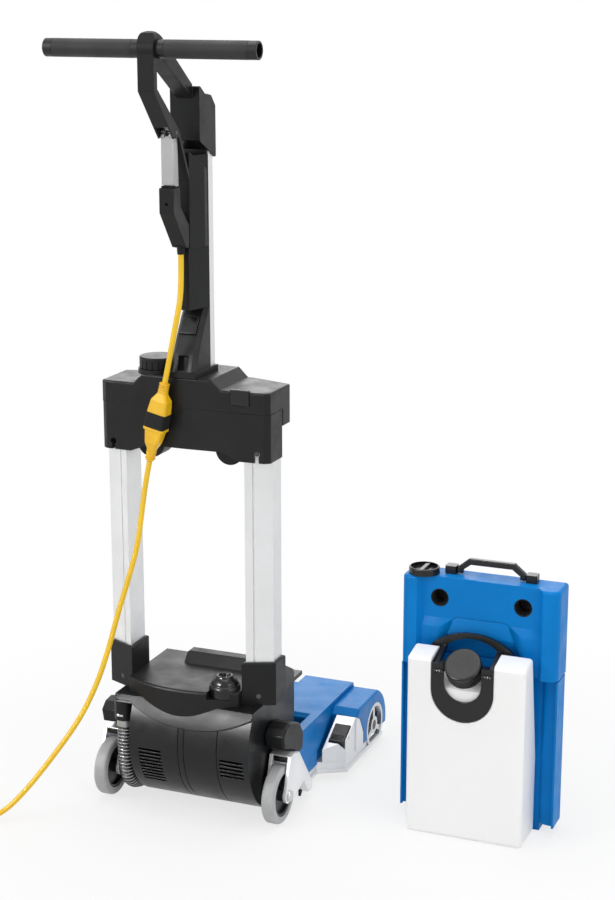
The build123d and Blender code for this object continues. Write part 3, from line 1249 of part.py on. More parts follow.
with BuildPart() as switch_arm:
    slab(plane_z(bracket_z0), [(-mast_half - 1, bracket_front_y), (-mast_half - 1, 22), (-arm_half, bracket_rear_y),
                               (arm_half, bracket_rear_y), (mast_half + 1, 22), (mast_half + 1, bracket_front_y)],
         bracket_z1 - bracket_z0)
    slab(plane_z(bracket_z0 - 1), mast_rear_outline, bracket_z1 - bracket_z0 + 2, Mode.SUBTRACT)
    slab(plane_x(-casing_half), [(casing_rear_y - 20, bracket_z1 + 6), (bracket_front_y + 1, bracket_z1 + 6),
                                 (bracket_front_y + 1, bracket_z1 - 28)], 2 * casing_half, Mode.SUBTRACT)
    slab(plane_x(-switch_arm_half), [
        (-56, lever_bottom_z - 4), (-36, lever_bottom_z - 4), (-34, lever_bottom_z - 32), (bracket_rear_y, bracket_z0 + 32),
        (bracket_rear_y, bracket_z0 + 2), (-18, bracket_z0 + 2), (-56, lever_bottom_z - 38)], 2 * switch_arm_half)
    fillet(switch_arm.edges().filter_by(Axis.X).sort_by(Axis.Y)[:2], 2)
    rod(plane_y(-60), (0, lever_bottom_z - 26), 2.2, -8, Mode.SUBTRACT)
    rod(plane_z(gland_bottom_z), (0, gland_y), gland_r0, gland_top_z - gland_bottom_z, Mode.SUBTRACT)
switch_arm.part.label = "switch_arm"
export_step(switch_arm.part, "parts/switch_arm.step")

with BuildPart() as cord_gland:
    with Locations((0, gland_y, (gland_top_z + gland_bottom_z) / 2)):
        Cone(gland_r1, gland_r0, gland_top_z - gland_bottom_z)
cord_gland.part.label = "cord_gland"
export_step(cord_gland.part, "parts/cord_gland.step")

# Suction hose: a ribbed tube from the elbow down, round a bend and forward to the tray.
hose_end_y = base_rear_y - free_gap
drop_run = hose_top_z - hose_low_z - hose_bend_r
bend_run = hose_bend_r * math.pi / 2
flat_run = hose_end_y - hose_y - hose_bend_r
hose_run = drop_run + bend_run + flat_run


def hose_plane(along):
    if along <= drop_run:
        spot = (hose_x, hose_y, hose_top_z - along)
        heading = (0, 0, -1)
    elif along < drop_run + bend_run:
        angle = (along - drop_run) / hose_bend_r
        spot = (hose_x, hose_y + hose_bend_r * (1 - math.cos(angle)),
                hose_low_z + hose_bend_r * (1 - math.sin(angle)))
        heading = (0, math.sin(angle), -math.cos(angle))
    else:
        spot = (hose_x, hose_y + hose_bend_r + along - drop_run - bend_run, hose_low_z)
        heading = (0, 1, 0)
    return Plane(origin=spot, x_dir=(1, 0, 0), z_dir=heading)


rib_count = int((hose_run - 2 * hose_plain) / hose_rib_pitch)
hose_stations = [(0, hose_r)]
for rib in range(rib_count):
    rib_start = hose_plain + rib * hose_rib_pitch
    hose_stations.append((rib_start, hose_r))
    hose_stations.append((rib_start + 0.4 * hose_rib_pitch, hose_r))
    hose_stations.append((rib_start + 0.55 * hose_rib_pitch, hose_valley_r))
    hose_stations.append((rib_start + 0.85 * hose_rib_pitch, hose_valley_r))
hose_stations.append((hose_plain + rib_count * hose_rib_pitch, hose_r))
hose_stations.append((hose_run, hose_r))
with BuildPart() as suction_hose:
    for along, radius in hose_stations:
        with BuildSketch(hose_plane(along)):
            Circle(radius)
    loft(ruled=True)
    for along, radius in hose_stations[::4] + hose_stations[-1:]:
        with BuildSketch(hose_plane(along)):
            Circle(hose_bore_r)
    loft(ruled=True, mode=Mode.SUBTRACT)
suction_hose.part.label = "suction_hose"
export_step(suction_hose.part, "parts/suction_hose.step")

with BuildPart() as hose_elbow:
    rod(plane_z(elbow_z0), (hose_x, hose_y), elbow_r, shoulder_z - elbow_z0)
    rod(plane_z(elbow_z0), (hose_x, hose_y), hose_r + slip_gap, hose_top_z + 1 - elbow_z0, Mode.SUBTRACT)
    rod(plane_z(elbow_z0), (hose_x, hose_y), hose_bore_r, shoulder_z - 4 - elbow_z0, Mode.SUBTRACT)
    fillet(hose_elbow.faces().sort_by(Axis.Z)[0].edges().sort_by(SortBy.RADIUS)[-1], 1.5)
hose_elbow.part.label = "hose_elbow"
export_step(hose_elbow.part, "parts/hose_elbow.step")


# A cord's tube: straight runs joined by arcs as large as the shorter run allows.
def cord_path(points):
    spots = [Vector(*point) for point in points]
    radii = []
    for before, corner, after in zip(spots, spots[1:], spots[2:]):
        turn = (corner - before).get_angle(after - corner)
        shorter = min((corner - before).length, (after - corner).length)
        radii.append(0.45 * shorter / math.tan(math.radians(turn / 2)))
    return spots, radii


def cord_volume_note(name, tube, path):
    print(name, "radius from", round(min(path[1])), "mm, volume over section times length",
          round(tube.volume / (math.pi * cord_r ** 2 * path[2]), 4))


connector_axis = Vector(*connector_bottom) - Vector(*connector_top)
connector_length = connector_axis.length
lead_drop = gland_bottom_z - connector_top[2]
lead_last = tuple(Vector(*connector_top) - connector_axis.normalized() * 0.186 * lead_drop)
extension_first = tuple(Vector(*connector_bottom) + connector_axis.normalized() * 30)
machine_lead_points = [(0, gland_y, gland_bottom_z), (0, gland_y, gland_bottom_z - 0.1425 * lead_drop),
                       (1, -20, gland_bottom_z - 0.35 * lead_drop), (-6, -28, gland_bottom_z - 0.603 * lead_drop),
                       lead_last, connector_top]
lead_spots, lead_radii = cord_path(machine_lead_points)
with BuildPart() as machine_lead:
    with BuildLine():
        lead_line = FilletPolyline(*lead_spots, radius=lead_radii)
    with BuildSketch(Plane(origin=lead_line @ 0, z_dir=lead_line % 0)):
        Circle(cord_r)
    sweep()
cord_volume_note("machine lead", machine_lead.part, (lead_spots, lead_radii, lead_line.length))
machine_lead.part.label = "machine_lead"
export_step(machine_lead.part, "parts/machine_lead.step")

# Connector, strap and plug, one after the other down one slanted line.
plug_end = connector_body + strap_length


def connector_plane(along):
    return Plane(origin=Vector(*connector_top) + connector_axis.normalized() * along, x_dir=(0, 1, 0),
                 z_dir=connector_axis)


connector_shape = ((0, 11, 11), (16, 13, 14), (26, 22, 26), (connector_body, 24, 30))
plug_shape = ((plug_end, 24, 32), (plug_end + 4, 24, 32), (plug_end + 5, 22, 27), (plug_end + 24, 20, 21),
              (plug_end + 34, 13, 13), (connector_length, 11, 11))
with BuildPart() as cord_connectors:
    for shape in (connector_shape, plug_shape):
        for along, depth, width in shape:
            with BuildSketch(connector_plane(along)):
                RectangleRounded(depth, width, 4)
        loft(ruled=True)
cord_connectors.part.label = "cord_connectors"
export_step(cord_connectors.part, "parts/cord_connectors.step")

with BuildPart() as cord_strap:
    with BuildSketch(connector_plane(connector_body)):
        RectangleRounded(25, 31, 4)
    extrude(amount=strap_length)
cord_strap.part.label = "cord_strap"
export_step(cord_strap.part, "parts/cord_strap.step")

# Coil of the put-away length: it spirals in and out in layers, then climbs on top to the plug.
coil_turns = coil_layer_turns * coil_layers
coil_z = cord_r + coil_lift
coil_climb = 0.25
tail_turns = 0.6
tail_z = coil_z + (coil_layers - 1) * coil_pitch + cord_r + plug_half


def smooth(share):
    share = max(0.0, min(1.0, share))
    return share * share * (3 - 2 * share)


def coil_spot(turn):
    layer = min(int(max(turn, 0) / coil_layer_turns), coil_layers - 1)
    into = turn - layer * coil_layer_turns
    radius = coil_outer_r - coil_pitch * (into if layer % 2 == 0 else coil_layer_turns - into)
    height = coil_z + layer * coil_pitch
    for reversal in range(1, coil_layers):
        share = (turn - reversal * coil_layer_turns + coil_climb) / (2 * coil_climb)
        if 0 < share < 1:
            height = coil_z + (reversal - 1 + smooth(share)) * coil_pitch
    tail = (turn - coil_turns) / tail_turns
    if tail > 0:
        radius = coil_outer_r + (coil_tail_r - coil_outer_r) * smooth(1.6 * tail - 0.6)
        height = height + (tail_z - height) * smooth(1.5 * tail)
    angle = math.radians(coil_start_deg) - 2 * math.pi * turn
    return Vector(coil_centre[0] + radius * math.cos(angle), coil_centre[1] + radius * math.sin(angle), height)


def coil_heading(turn):
    return (coil_spot(turn + 0.01) - coil_spot(turn - 0.01)).normalized()


# The point where two arcs from one spot and heading to the next meet.
def arc_joint(start, start_heading, end, end_heading):
    across = end - start
    both = start_heading + end_heading
    spread = 2 * (1 - start_heading.dot(end_heading))
    along = across.dot(both)
    reach = (math.sqrt(along ** 2 + spread * across.dot(across)) - along) / spread
    return (start + start_heading * reach + end - end_heading * reach) * 0.5


quarter_turns = [quarter / 4 for quarter in range(int(4 * coil_turns) + 1)]
quarter_turns += [coil_turns + tail_turns * share for share in (0.35, 0.7, 1)]
coil_spots = [coil_spot(turn) for turn in quarter_turns]
coil_headings = [coil_heading(turn) for turn in quarter_turns]
coil_headings[0] = Vector(math.sin(math.radians(coil_start_deg)), -math.cos(math.radians(coil_start_deg)), 0)
coil_headings[-1] = Vector(coil_headings[-1].X, coil_headings[-1].Y, 0).normalized()
lead_in = coil_spots[0] - coil_headings[0] * (2 * cord_r)
lead_out = coil_spots[-1] + coil_headings[-1] * (2 * cord_r)
with BuildPart() as cord_coil:
    with BuildLine() as coil_line:
        Line(lead_in, coil_spots[0])
        for step in range(len(coil_spots) - 1):
            joint = arc_joint(coil_spots[step], coil_headings[step], coil_spots[step + 1], coil_headings[step + 1])
            first = TangentArc(coil_spots[step], joint, tangent=coil_headings[step])
            TangentArc(joint, coil_spots[step + 1], tangent=first % 1)
        Line(coil_spots[-1], lead_out)
    with BuildSketch(Plane(origin=lead_in, z_dir=coil_headings[0])):
        Circle(cord_r)
    sweep()
coil_wire = coil_line.wire()
coil_length = coil_wire.length
coil_samples = [coil_wire @ (step / 2400) for step in range(2401)]
skip = int(2400 * 60 / coil_length)
coil_least = min((coil_samples[a] - coil_samples[b]).length
                 for a in range(0, 2401, 2) for b in range(a + skip, 2401, 2)
                 if abs(coil_samples[a].Z - coil_samples[b].Z) < 3 * cord_r)
print("coil length", round(coil_length), "least gap", round(coil_least - 2 * cord_r, 2),
      "volume share", round(cord_coil.part.volume / (math.pi * cord_r ** 2 * coil_length), 4))
cord_coil.part.label = "cord_coil"
export_step(cord_coil.part, "parts/cord_coil.step")

coil_approach = tuple(lead_in - coil_headings[0] * 26)
extension_points = [connector_bottom, extension_first, (-58, -37.6, 471), (-64, -41.6, 419), (-77, -49.9, 366),
                    (-90, -57.5, 320), (-104, -66, 260), (-120, -76.1, 206), (-143, -90.1, 152), (-178, -112, 96),
                    (-214, -134.5, 44), (-244, -152, 11), coil_approach, tuple(lead_in)]
extension_spots, extension_radii = cord_path(extension_points)
with BuildPart() as extension_cord:
    with BuildLine():
        extension_line = FilletPolyline(*extension_spots, radius=extension_radii)
    with BuildSketch(Plane(origin=extension_line @ 0, z_dir=extension_line % 0)):
        Circle(cord_r)
    sweep()
cord_volume_note("extension cord", extension_cord.part, (extension_spots, extension_radii, extension_line.length))
print("extension cord and coil", round(extension_line.length + coil_length), "of", round(cord_length), "mm")
extension_cord.part.label = "extension_cord"
export_step(extension_cord.part, "parts/extension_cord.step")

tie_angle = math.radians(coil_start_deg + 150)
coil_inner_r = coil_outer_r - coil_layer_turns * coil_pitch
tie_plane = Plane(origin=(coil_centre[0], coil_centre[1], 0),
                  x_dir=(math.cos(tie_angle), math.sin(tie_angle), 0),
                  z_dir=(-math.sin(tie_angle), math.cos(tie_angle), 0))
tie_low = coil_z - cord_r - free_gap
tie_high = coil_z + (coil_layers - 1) * coil_pitch + cord_r + free_gap
tie_in = coil_inner_r - cord_r - free_gap
tie_out = coil_outer_r + cord_r + free_gap
with BuildPart() as coil_tie:
    with BuildSketch(tie_plane.offset(-tie_width / 2)):
        with Locations(((tie_in + tie_out) / 2, -(tie_low + tie_high) / 2)):
            RectangleRounded(tie_out - tie_in + 2 * tie_thick, tie_high - tie_low + 2 * tie_thick, tie_thick)
            Rectangle(tie_out - tie_in, tie_high - tie_low, mode=Mode.SUBTRACT)
    extrude(amount=tie_width)
coil_tie.part.label = "coil_tie"
export_step(coil_tie.part, "parts/coil_tie.step")

plug_plane = Plane(origin=lead_out, x_dir=coil_headings[-1].cross(Vector(0, 0, 1)), z_dir=coil_headings[-1])
with BuildPart() as wall_plug:
    for along, width, height in ((0, 10, 10), (8, 12, 12), (14, 24, 20), (plug_length, 26, 2 * plug_half - 2)):
        with BuildSketch(plug_plane.offset(along)):
            RectangleRounded(width, height, 4)
    loft(ruled=True)
    for pin_x in (-6, 6):
        rod(plug_plane.offset(plug_length), (pin_x, 0), 2.2, 18)
wall_plug.part.label = "wall_plug"
export_step(wall_plug.part, "parts/wall_plug.step")

# Fresh water bottle: a block whose far side leans in at the top, with a notch for the slanted neck.
neck_turn = math.radians(bottle_neck_tilt)
neck_heading = (0, -math.cos(neck_turn), math.sin(neck_turn))
neck_plane = Plane(origin=(tank_x + bottle_neck_x, bottle_neck_y, bottle_neck_z), x_dir=(1, 0, 0), z_dir=neck_heading)
notch_x = tank_x + bottle_neck_x
bottle_x0 = tank_x + bottle_x - bottle_half
bottle_x1 = tank_x + bottle_x + bottle_half
lean = (bottle_front_y - bottle_top_y) / (bottle_top_z - bottle_lean_z)
room_rear_y = bottle_rear_y + bottle_wall + yoke_thick
room_top_z = notch_z - 2 * bottle_wall
room_top_y = bottle_front_y - lean * (room_top_z - bottle_lean_z) - 2 * bottle_wall
with BuildPart() as bottle:
    slab(plane_x(bottle_x0), [(bottle_rear_y, 0), (bottle_front_y, 0), (bottle_front_y, bottle_lean_z),
                              (bottle_top_y, bottle_top_z), (bottle_rear_y, bottle_rear_z)], 2 * bottle_half)
    fillet(bottle.edges().filter_by(Axis.X), bottle_round)
    fillet(bottle.faces().sort_by(Axis.X)[0].edges(), bottle_round - 1)
    fillet(bottle.faces().sort_by(Axis.X)[-1].edges(), bottle_round - 1)
    with BuildSketch(plane_y(bottle_rear_y - 1)) as notch_face:
        with Locations((notch_x, yoke_z)):
            Circle(notch_half)
        with Locations((notch_x, yoke_z + bottle_top_z / 2)):
            Rectangle(2 * notch_half, bottle_top_z)
    extrude(notch_face.sketch, amount=-(yoke_thick + 1), mode=Mode.SUBTRACT)
    slab(plane_x(notch_x - notch_half), [(bottle_rear_y - 1, notch_z), (notch_floor_y, notch_z + notch_rise),
                                         (bottle_front_y + 1, notch_z + notch_rise),
                                         (bottle_front_y + 1, bottle_top_z + 1), (bottle_rear_y - 1, bottle_top_z + 1)],
         2 * notch_half, Mode.SUBTRACT)
    with BuildSketch(neck_plane.offset(-8)) as neck_face:
        Circle(bottle_neck_r)
    extrude(neck_face.sketch, amount=bottle_neck + 8)
    slab(plane_x(bottle_x0 + 2 * bottle_wall), [
        (room_rear_y, bottle_wall), (bottle_front_y - bottle_wall, bottle_wall),
        (bottle_front_y - bottle_wall, bottle_lean_z), (room_top_y, room_top_z), (room_rear_y, room_top_z)],
        2 * bottle_half - 4 * bottle_wall, Mode.SUBTRACT)
    for x0, x1 in ((bottle_x0 + 2 * bottle_wall, notch_x - notch_half - bottle_wall),
                   (notch_x + notch_half + bottle_wall, bottle_x1 - 2 * bottle_wall)):
        slab(plane_x(x0), [
            (room_rear_y, room_top_z - 3), (room_top_y, room_top_z - 3),
            (bottle_top_y - 4 * bottle_wall, bottle_top_z - 4 * bottle_wall),
            (room_rear_y, bottle_rear_z - 3 * bottle_wall)], x1 - x0, Mode.SUBTRACT)
    with BuildSketch(neck_plane.offset(-mouth_drop)) as mouth_face:
        Circle(bottle_neck_r - bottle_wall)
    extrude(mouth_face.sketch, amount=bottle_neck + mouth_drop + 4, mode=Mode.SUBTRACT)
bottle.part.label = "bottle"
export_step(bottle.part, "parts/bottle.step")

with BuildPart() as bottle_cap_piece:
    with BuildSketch(neck_plane.offset(bottle_neck - bottle_cap + bottle_wall + 1)) as cap_face:
        Circle(bottle_cap_r)
    extrude(cap_face.sketch, amount=bottle_cap)
    fillet(bottle_cap_piece.edges().filter_by(GeomType.CIRCLE).sort_by(Axis.Z)[-1], 3)
    with Locations(neck_plane.offset(bottle_neck - bottle_cap / 2 - 1)):
        with PolarLocations(bottle_cap_r + 0.3, bottle_cap_ribs):
            Cylinder(0.9, bottle_cap - 6, mode=Mode.SUBTRACT)
    with BuildSketch(neck_plane) as cap_room:
        Circle(bottle_neck_r + run_gap)
    extrude(cap_room.sketch, amount=bottle_neck + 0.5, mode=Mode.SUBTRACT)
bottle_cap_piece.part.label = "bottle_cap"
export_step(bottle_cap_piece.part, "parts/bottle_cap.step")

# Yoke plate let into the bottle round the neck, with a lug at each top end for the bottle's handle.
lug_in = yoke_inner_r + loose_gap
lug_out = lug_in + lug_width
with BuildPart() as bottle_yoke:
    with BuildSketch(plane_y(bottle_rear_y + yoke_thick)) as yoke_face:
        with Locations((notch_x, yoke_z)):
            Circle(yoke_outer_r)
        with Locations((notch_x, (yoke_z + yoke_top_z) / 2)):
            Rectangle(2 * yoke_outer_r, yoke_top_z - yoke_z)
        with Locations((notch_x, yoke_inner_z)):
            Circle(yoke_inner_r, mode=Mode.SUBTRACT)
        with Locations((notch_x, yoke_inner_z + yoke_top_z / 2)):
            Rectangle(2 * yoke_inner_r, yoke_top_z, mode=Mode.SUBTRACT)
    extrude(amount=yoke_thick)
    for sx in (-1, 1):
        block((min(notch_x + sx * lug_in, notch_x + sx * lug_out), bottle_rear_y, yoke_top_z - lug_drop),
              (max(notch_x + sx * lug_in, notch_x + sx * lug_out), bail_pin_y + lug_wall, yoke_top_z))
        rod(plane_x(notch_x + sx * (lug_in - 1)), (bail_pin_y, bail_pin_z), bail_pin_r + run_gap,
            sx * (lug_width + 2), Mode.SUBTRACT)
        slab(plane_x(notch_x + sx * liner_in), [
            (bottle_rear_y + 1, notch_z + 6), (bottle_rear_y + 1, yoke_top_z), (bottle_rear_y + 17, yoke_top_z + 4),
            (notch_floor_y + 10, bottle_top_z - 4), (notch_floor_y + 10, notch_z + notch_rise + 2),
            (notch_floor_y, notch_z + notch_rise + 2)], sx * liner_thick)
bottle_yoke.part.label = "bottle_yoke"
export_step(bottle_yoke.part, "parts/bottle_yoke.step")

# Bottle handle: an arch behind the neck on two arms that run back from the lugs.
arm_in = lug_out + free_gap
arm_out = arm_in + bail_arm
bail_end_z = bail_top_z - bail_rise
with BuildPart() as bottle_bail:
    with BuildSketch(plane_y(bail_y + bail_depth / 2)) as bail_face:
        with BuildLine():
            ThreePointArc((notch_x - bail_half, bail_end_z), (notch_x, bail_top_z), (notch_x + bail_half, bail_end_z))
            Line((notch_x + bail_half, bail_end_z), (notch_x + bail_half, bail_end_z - bail_foot))
            Line((notch_x + bail_half, bail_end_z - bail_foot), (notch_x + arm_in, bail_end_z - bail_foot))
            Line((notch_x + arm_in, bail_end_z - bail_foot), (notch_x + arm_in, bail_end_z + 1))
            ThreePointArc((notch_x + arm_in, bail_end_z + 1), (notch_x, bail_top_z - bail_thick),
                          (notch_x - arm_in, bail_end_z + 1))
            Line((notch_x - arm_in, bail_end_z + 1), (notch_x - arm_in, bail_end_z - bail_foot))
            Line((notch_x - arm_in, bail_end_z - bail_foot), (notch_x - bail_half, bail_end_z - bail_foot))
            Line((notch_x - bail_half, bail_end_z - bail_foot), (notch_x - bail_half, bail_end_z))
        make_face()
    extrude(amount=bail_depth)
    for sx in (-1, 1):
        slab(plane_x(notch_x + sx * arm_in), [
            (bail_pin_y - 3, bail_pin_z - 4), (bail_pin_y + 5, bail_pin_z - 4), (bail_y, bail_end_z - bail_foot),
            (bail_y + bail_depth / 2, bail_end_z - bail_foot), (bail_y + bail_depth / 2, bail_end_z),
            (bail_y - 6, bail_end_z), (bail_pin_y - 3, bail_pin_z + 4)], sx * bail_arm)
        rod(plane_x(notch_x + sx * arm_out), (bail_pin_y, bail_pin_z), bail_pin_r, -sx * (bail_arm + lug_width))
bottle_bail.part.label = "bottle_bail"
export_step(bottle_bail.part, "parts/bottle_bail.step")

# Recovery tank: a flat body with channels down both edges, a seal, and a lid with two ports.
wing_run = tank_half - wing_fin - wing_inner_x
wing_turns = [math.radians(angle) for angle in range(0, 91, 15)]
wing_curve = [(wing_inner_x + wing_run * (1 - math.cos(turn)), tank_rear_y - wing_bulge * math.sin(turn))
              for turn in wing_turns]
wing_outline = [(0, tank_rear_y)] + wing_curve + [
    (tank_half - wing_fin, wing_lip_y), (tank_half, wing_lip_y), (tank_half, tank_front_y - 8),
    (tank_half - 8, tank_front_y), (0, tank_front_y)]
tank_plan = [(tank_x + x, y) for x, y in both_sides(wing_outline)]
with BuildPart() as tank_body:
    slab(plane_z(0), tank_plan, tank_top_z)
    for sx in (-1, 1):
        wing_far = tank_x + sx * (tank_half + 1)
        wing_near = tank_x + sx * wing_inner_x
        block((min(wing_far, wing_near), wing_lip_y - 1, -1),
              (max(wing_far, wing_near), tank_front_y + 1, wing_bottom_z), Mode.SUBTRACT)
    block((tank_x - wing_inner_x + 6, tank_rear_y + tank_wall, tank_wall),
          (tank_x + wing_inner_x - 6, tank_front_y - tank_wall, tank_top_z + 1), Mode.SUBTRACT)
tank_body.part.label = "tank_body"
export_step(tank_body.part, "parts/tank_body.step")

with BuildPart() as lid_seal:
    slab(plane_z(tank_top_z), [(tank_x - wing_inner_x, tank_rear_y + 1), (tank_x + wing_inner_x, tank_rear_y + 1),
                               (tank_x + wing_inner_x, tank_front_y - 1), (tank_x - wing_inner_x, tank_front_y - 1)],
         seal_thick)
    block((tank_x - wing_inner_x + 6, tank_rear_y + tank_wall, tank_top_z - 1),
          (tank_x + wing_inner_x - 6, tank_front_y - tank_wall, tank_top_z + seal_thick + 1), Mode.SUBTRACT)
lid_seal.part.label = "lid_seal"
export_step(lid_seal.part, "parts/lid_seal.step")

with BuildPart() as tank_lid:
    block((tank_x - tank_half, lid_rear_y, lid_z0), (tank_x + tank_half, tank_front_y, lid_top_z))
    fillet(tank_lid.edges().filter_by(Axis.Z).filter_by(lambda e: e.center().Y < lid_panel_y), lid_corner)
    fillet(tank_lid.edges().filter_by(Axis.Z).filter_by(lambda e: e.center().Y > tank_front_y - 1), lid_round)
    fillet(tank_lid.faces().sort_by(Axis.Z)[-1].edges(), lid_round)
    slab(plane_z(lid_z0 - 1), [(tank_x - lid_pillar_x, lid_rear_y - 1), (tank_x + lid_pillar_x, lid_rear_y - 1),
                               (tank_x + lid_pillar_face, lid_panel_y), (tank_x - lid_pillar_face, lid_panel_y)],
         lid_height + 2, Mode.SUBTRACT)
    slab(plane_y(lid_panel_y - 1), [
        (tank_x - recess_half, lid_z0 - 1), (tank_x + recess_half, lid_z0 - 1), (tank_x + recess_half, recess_z),
        (tank_x + recess_mid_half, recess_top_z), (tank_x - recess_mid_half, recess_top_z),
        (tank_x - recess_half, recess_z)], lid_panel_y - 1 - tank_rear_y, Mode.SUBTRACT)
    block((tank_x - wing_inner_x + 6, tank_rear_y + tank_wall, lid_z0 - 1),
          (tank_x + wing_inner_x - 6, tank_front_y - tank_wall, lid_top_z - 2 * tank_wall), Mode.SUBTRACT)
    for side, sx in sides:
        rod(plane_y(lid_panel_y - 1), (tank_x + sx * port_x, port_z), port_r, -port_depth, Mode.SUBTRACT)
    rod(plane_z(lid_top_z - 10), (tank_x + knob_x, knob_y), knob_stem_r + run_gap, 20, Mode.SUBTRACT)
tank_lid.part.label = "tank_lid"
export_step(tank_lid.part, "parts/tank_lid.step")

with BuildPart() as drain_knob:
    rod(plane_z(lid_top_z + free_gap), (tank_x + knob_x, knob_y), knob_r, knob_height)
    fillet(drain_knob.faces().sort_by(Axis.Z)[-1].edges(), 2)
    rod(plane_z(lid_top_z + knob_height / 2), (tank_x + knob_x, knob_y), knob_r - 2.5, knob_height, Mode.SUBTRACT)
    block((tank_x + knob_x - 3, knob_y - knob_r + 1.5, lid_top_z + knob_height / 2 - 1),
          (tank_x + knob_x + 3, knob_y + knob_r - 1.5, lid_top_z + knob_height - 1))
    rod(plane_z(lid_top_z + 1), (tank_x + knob_x, knob_y), knob_stem_r, -10)
drain_knob.part.label = "drain_knob"
export_step(drain_knob.part, "parts/drain_knob.step")

# Carry handle: a bail of square bar on two stub pins in its clips.
carry_mid = tank_x + carry_x
with BuildPart() as carry_handle:
    with BuildSketch(plane_y(carry_y + carry_bar / 2)) as carry_face:
        with BuildLine():
            Polyline((carry_mid - carry_half, carry_pivot_z - 4), (carry_mid - carry_half, carry_pivot_z + 4),
                     (carry_mid - carry_top_half, carry_top_z), (carry_mid + carry_top_half, carry_top_z),
                     (carry_mid + carry_half, carry_pivot_z + 4), (carry_mid + carry_half, carry_pivot_z - 4),
                     (carry_mid + carry_half - carry_bar, carry_pivot_z - 4),
                     (carry_mid + carry_half - carry_bar, carry_pivot_z + 1),
                     (carry_mid + carry_top_half - 3, carry_top_z - carry_bar),
                     (carry_mid - carry_top_half + 3, carry_top_z - carry_bar),
                     (carry_mid - carry_half + carry_bar, carry_pivot_z + 1),
                     (carry_mid - carry_half + carry_bar, carry_pivot_z - 4), close=True)
        make_face()
    extrude(amount=carry_bar)
    chamfer(carry_handle.faces().filter_by(Axis.Y).edges(), 1.2)
    for sx in (-1, 1):
        rod(plane_x(carry_mid + sx * (carry_half - 1)), (carry_y, carry_pivot_z), carry_pin_r, sx * 9)
carry_handle.part.label = "carry_handle"
export_step(carry_handle.part, "parts/carry_handle.step")

with BuildPart() as handle_clips:
    for side, sx in sides:
        clip_middle = carry_mid + sx * (carry_half + free_gap + clip_half)
        block((clip_middle - clip_half, carry_y - 8, lid_top_z), (clip_middle + clip_half, carry_y + 8,
                                                                  lid_top_z + clip_rise))
    fillet(handle_clips.edges().filter_by(Axis.Z), 2)
    for side, sx in sides:
        rod(plane_x(carry_mid + sx * carry_half), (carry_y, carry_pivot_z), carry_pin_r + run_gap, sx * 12,
            Mode.SUBTRACT)
handle_clips.part.label = "handle_clips"
export_step(handle_clips.part, "parts/handle_clips.step")
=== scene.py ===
import math
import random

import bmesh
import bpy
from mathutils import Matrix, Vector


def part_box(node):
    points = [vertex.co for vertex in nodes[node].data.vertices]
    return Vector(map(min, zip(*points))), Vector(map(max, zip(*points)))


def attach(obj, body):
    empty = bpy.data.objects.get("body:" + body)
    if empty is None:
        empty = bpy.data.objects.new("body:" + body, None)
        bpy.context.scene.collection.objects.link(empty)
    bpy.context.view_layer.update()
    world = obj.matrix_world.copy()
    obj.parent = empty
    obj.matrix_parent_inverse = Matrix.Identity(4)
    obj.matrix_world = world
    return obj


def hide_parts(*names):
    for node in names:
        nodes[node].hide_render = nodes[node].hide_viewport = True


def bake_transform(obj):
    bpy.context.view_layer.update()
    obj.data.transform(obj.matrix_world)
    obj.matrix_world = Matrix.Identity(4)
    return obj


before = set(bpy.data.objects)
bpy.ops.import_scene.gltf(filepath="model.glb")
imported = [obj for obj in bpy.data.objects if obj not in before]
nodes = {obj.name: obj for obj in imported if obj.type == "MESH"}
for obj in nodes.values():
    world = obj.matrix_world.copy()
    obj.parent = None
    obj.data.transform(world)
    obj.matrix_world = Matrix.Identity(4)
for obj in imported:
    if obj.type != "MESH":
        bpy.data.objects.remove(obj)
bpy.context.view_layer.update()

scene = bpy.context.scene
both_sides = (("left", -1), ("right", 1))


# Values that pass through mm() are in millimetres, and all other lengths in metres.
def mm(*point):
    """A point given in millimetres, in the scene's metres."""
    return tuple(value / 1000 for value in point)


def middle_x(node):
    """The middle of a node from left to right, in millimetres to three places."""
    low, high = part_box(node)
    return round((low.x + high.x) / 2 * 1000, 3)


def link(obj):
    scene.collection.objects.link(obj)
    return obj


# Camera at the photograph's viewpoint
camera_place = (1.1305, -2.3280, 1.2162)
camera_down = 14.3
camera_turn = 22.09
camera_data = bpy.data.cameras.new("camera")
camera_data.sensor_width = 36
camera_data.lens = 73.77
camera_data.clip_start = 0.05
camera_data.clip_end = 50
camera = link(bpy.data.objects.new("camera", camera_data))
camera.location = camera_place
camera.rotation_euler = (math.radians(90 - camera_down), 0, math.radians(camera_turn))
scene.camera = camera

# Materials: a scale counts a noise's waves in a metre, and a window is where it goes from none to full
noise_roughness = 0.55
cloud_detail, grain_detail, patch_detail = 5.0, 2.0, 4.0
cloud_window = (0.3, 0.7)
gloss_cloud_ratio = 2.3
flake_scale = 5200
flake_window = (0.62, 0.72)
flake_gain = 1.35
wear_scale = 60
wear_window = (0.42, 0.66)
edge_window = (0.995, 0.9)
scuff_turn = (0.3, 0.5, 0.9)
scuff_scale = (40, 900, 900)
scuff_window = (0.66, 0.74)
# Places of a Mix node's two colours and of its result
mix_first, mix_second, mix_result = 6, 7, 2


def new_material(name):
    material = bpy.data.materials.new(name)
    material.use_nodes = True
    tree = material.node_tree
    return material, tree, tree.nodes["Principled BSDF"]


def add_node(tree, kind, **values):
    node = tree.nodes.new(kind)
    for key, value in values.items():
        setattr(node, key, value)
    return node


def combine(tree, operation, first, second):
    node = add_node(tree, "ShaderNodeMath", operation=operation)
    tree.links.new(first, node.inputs[0])
    tree.links.new(second, node.inputs[1])
    return node.outputs[0]


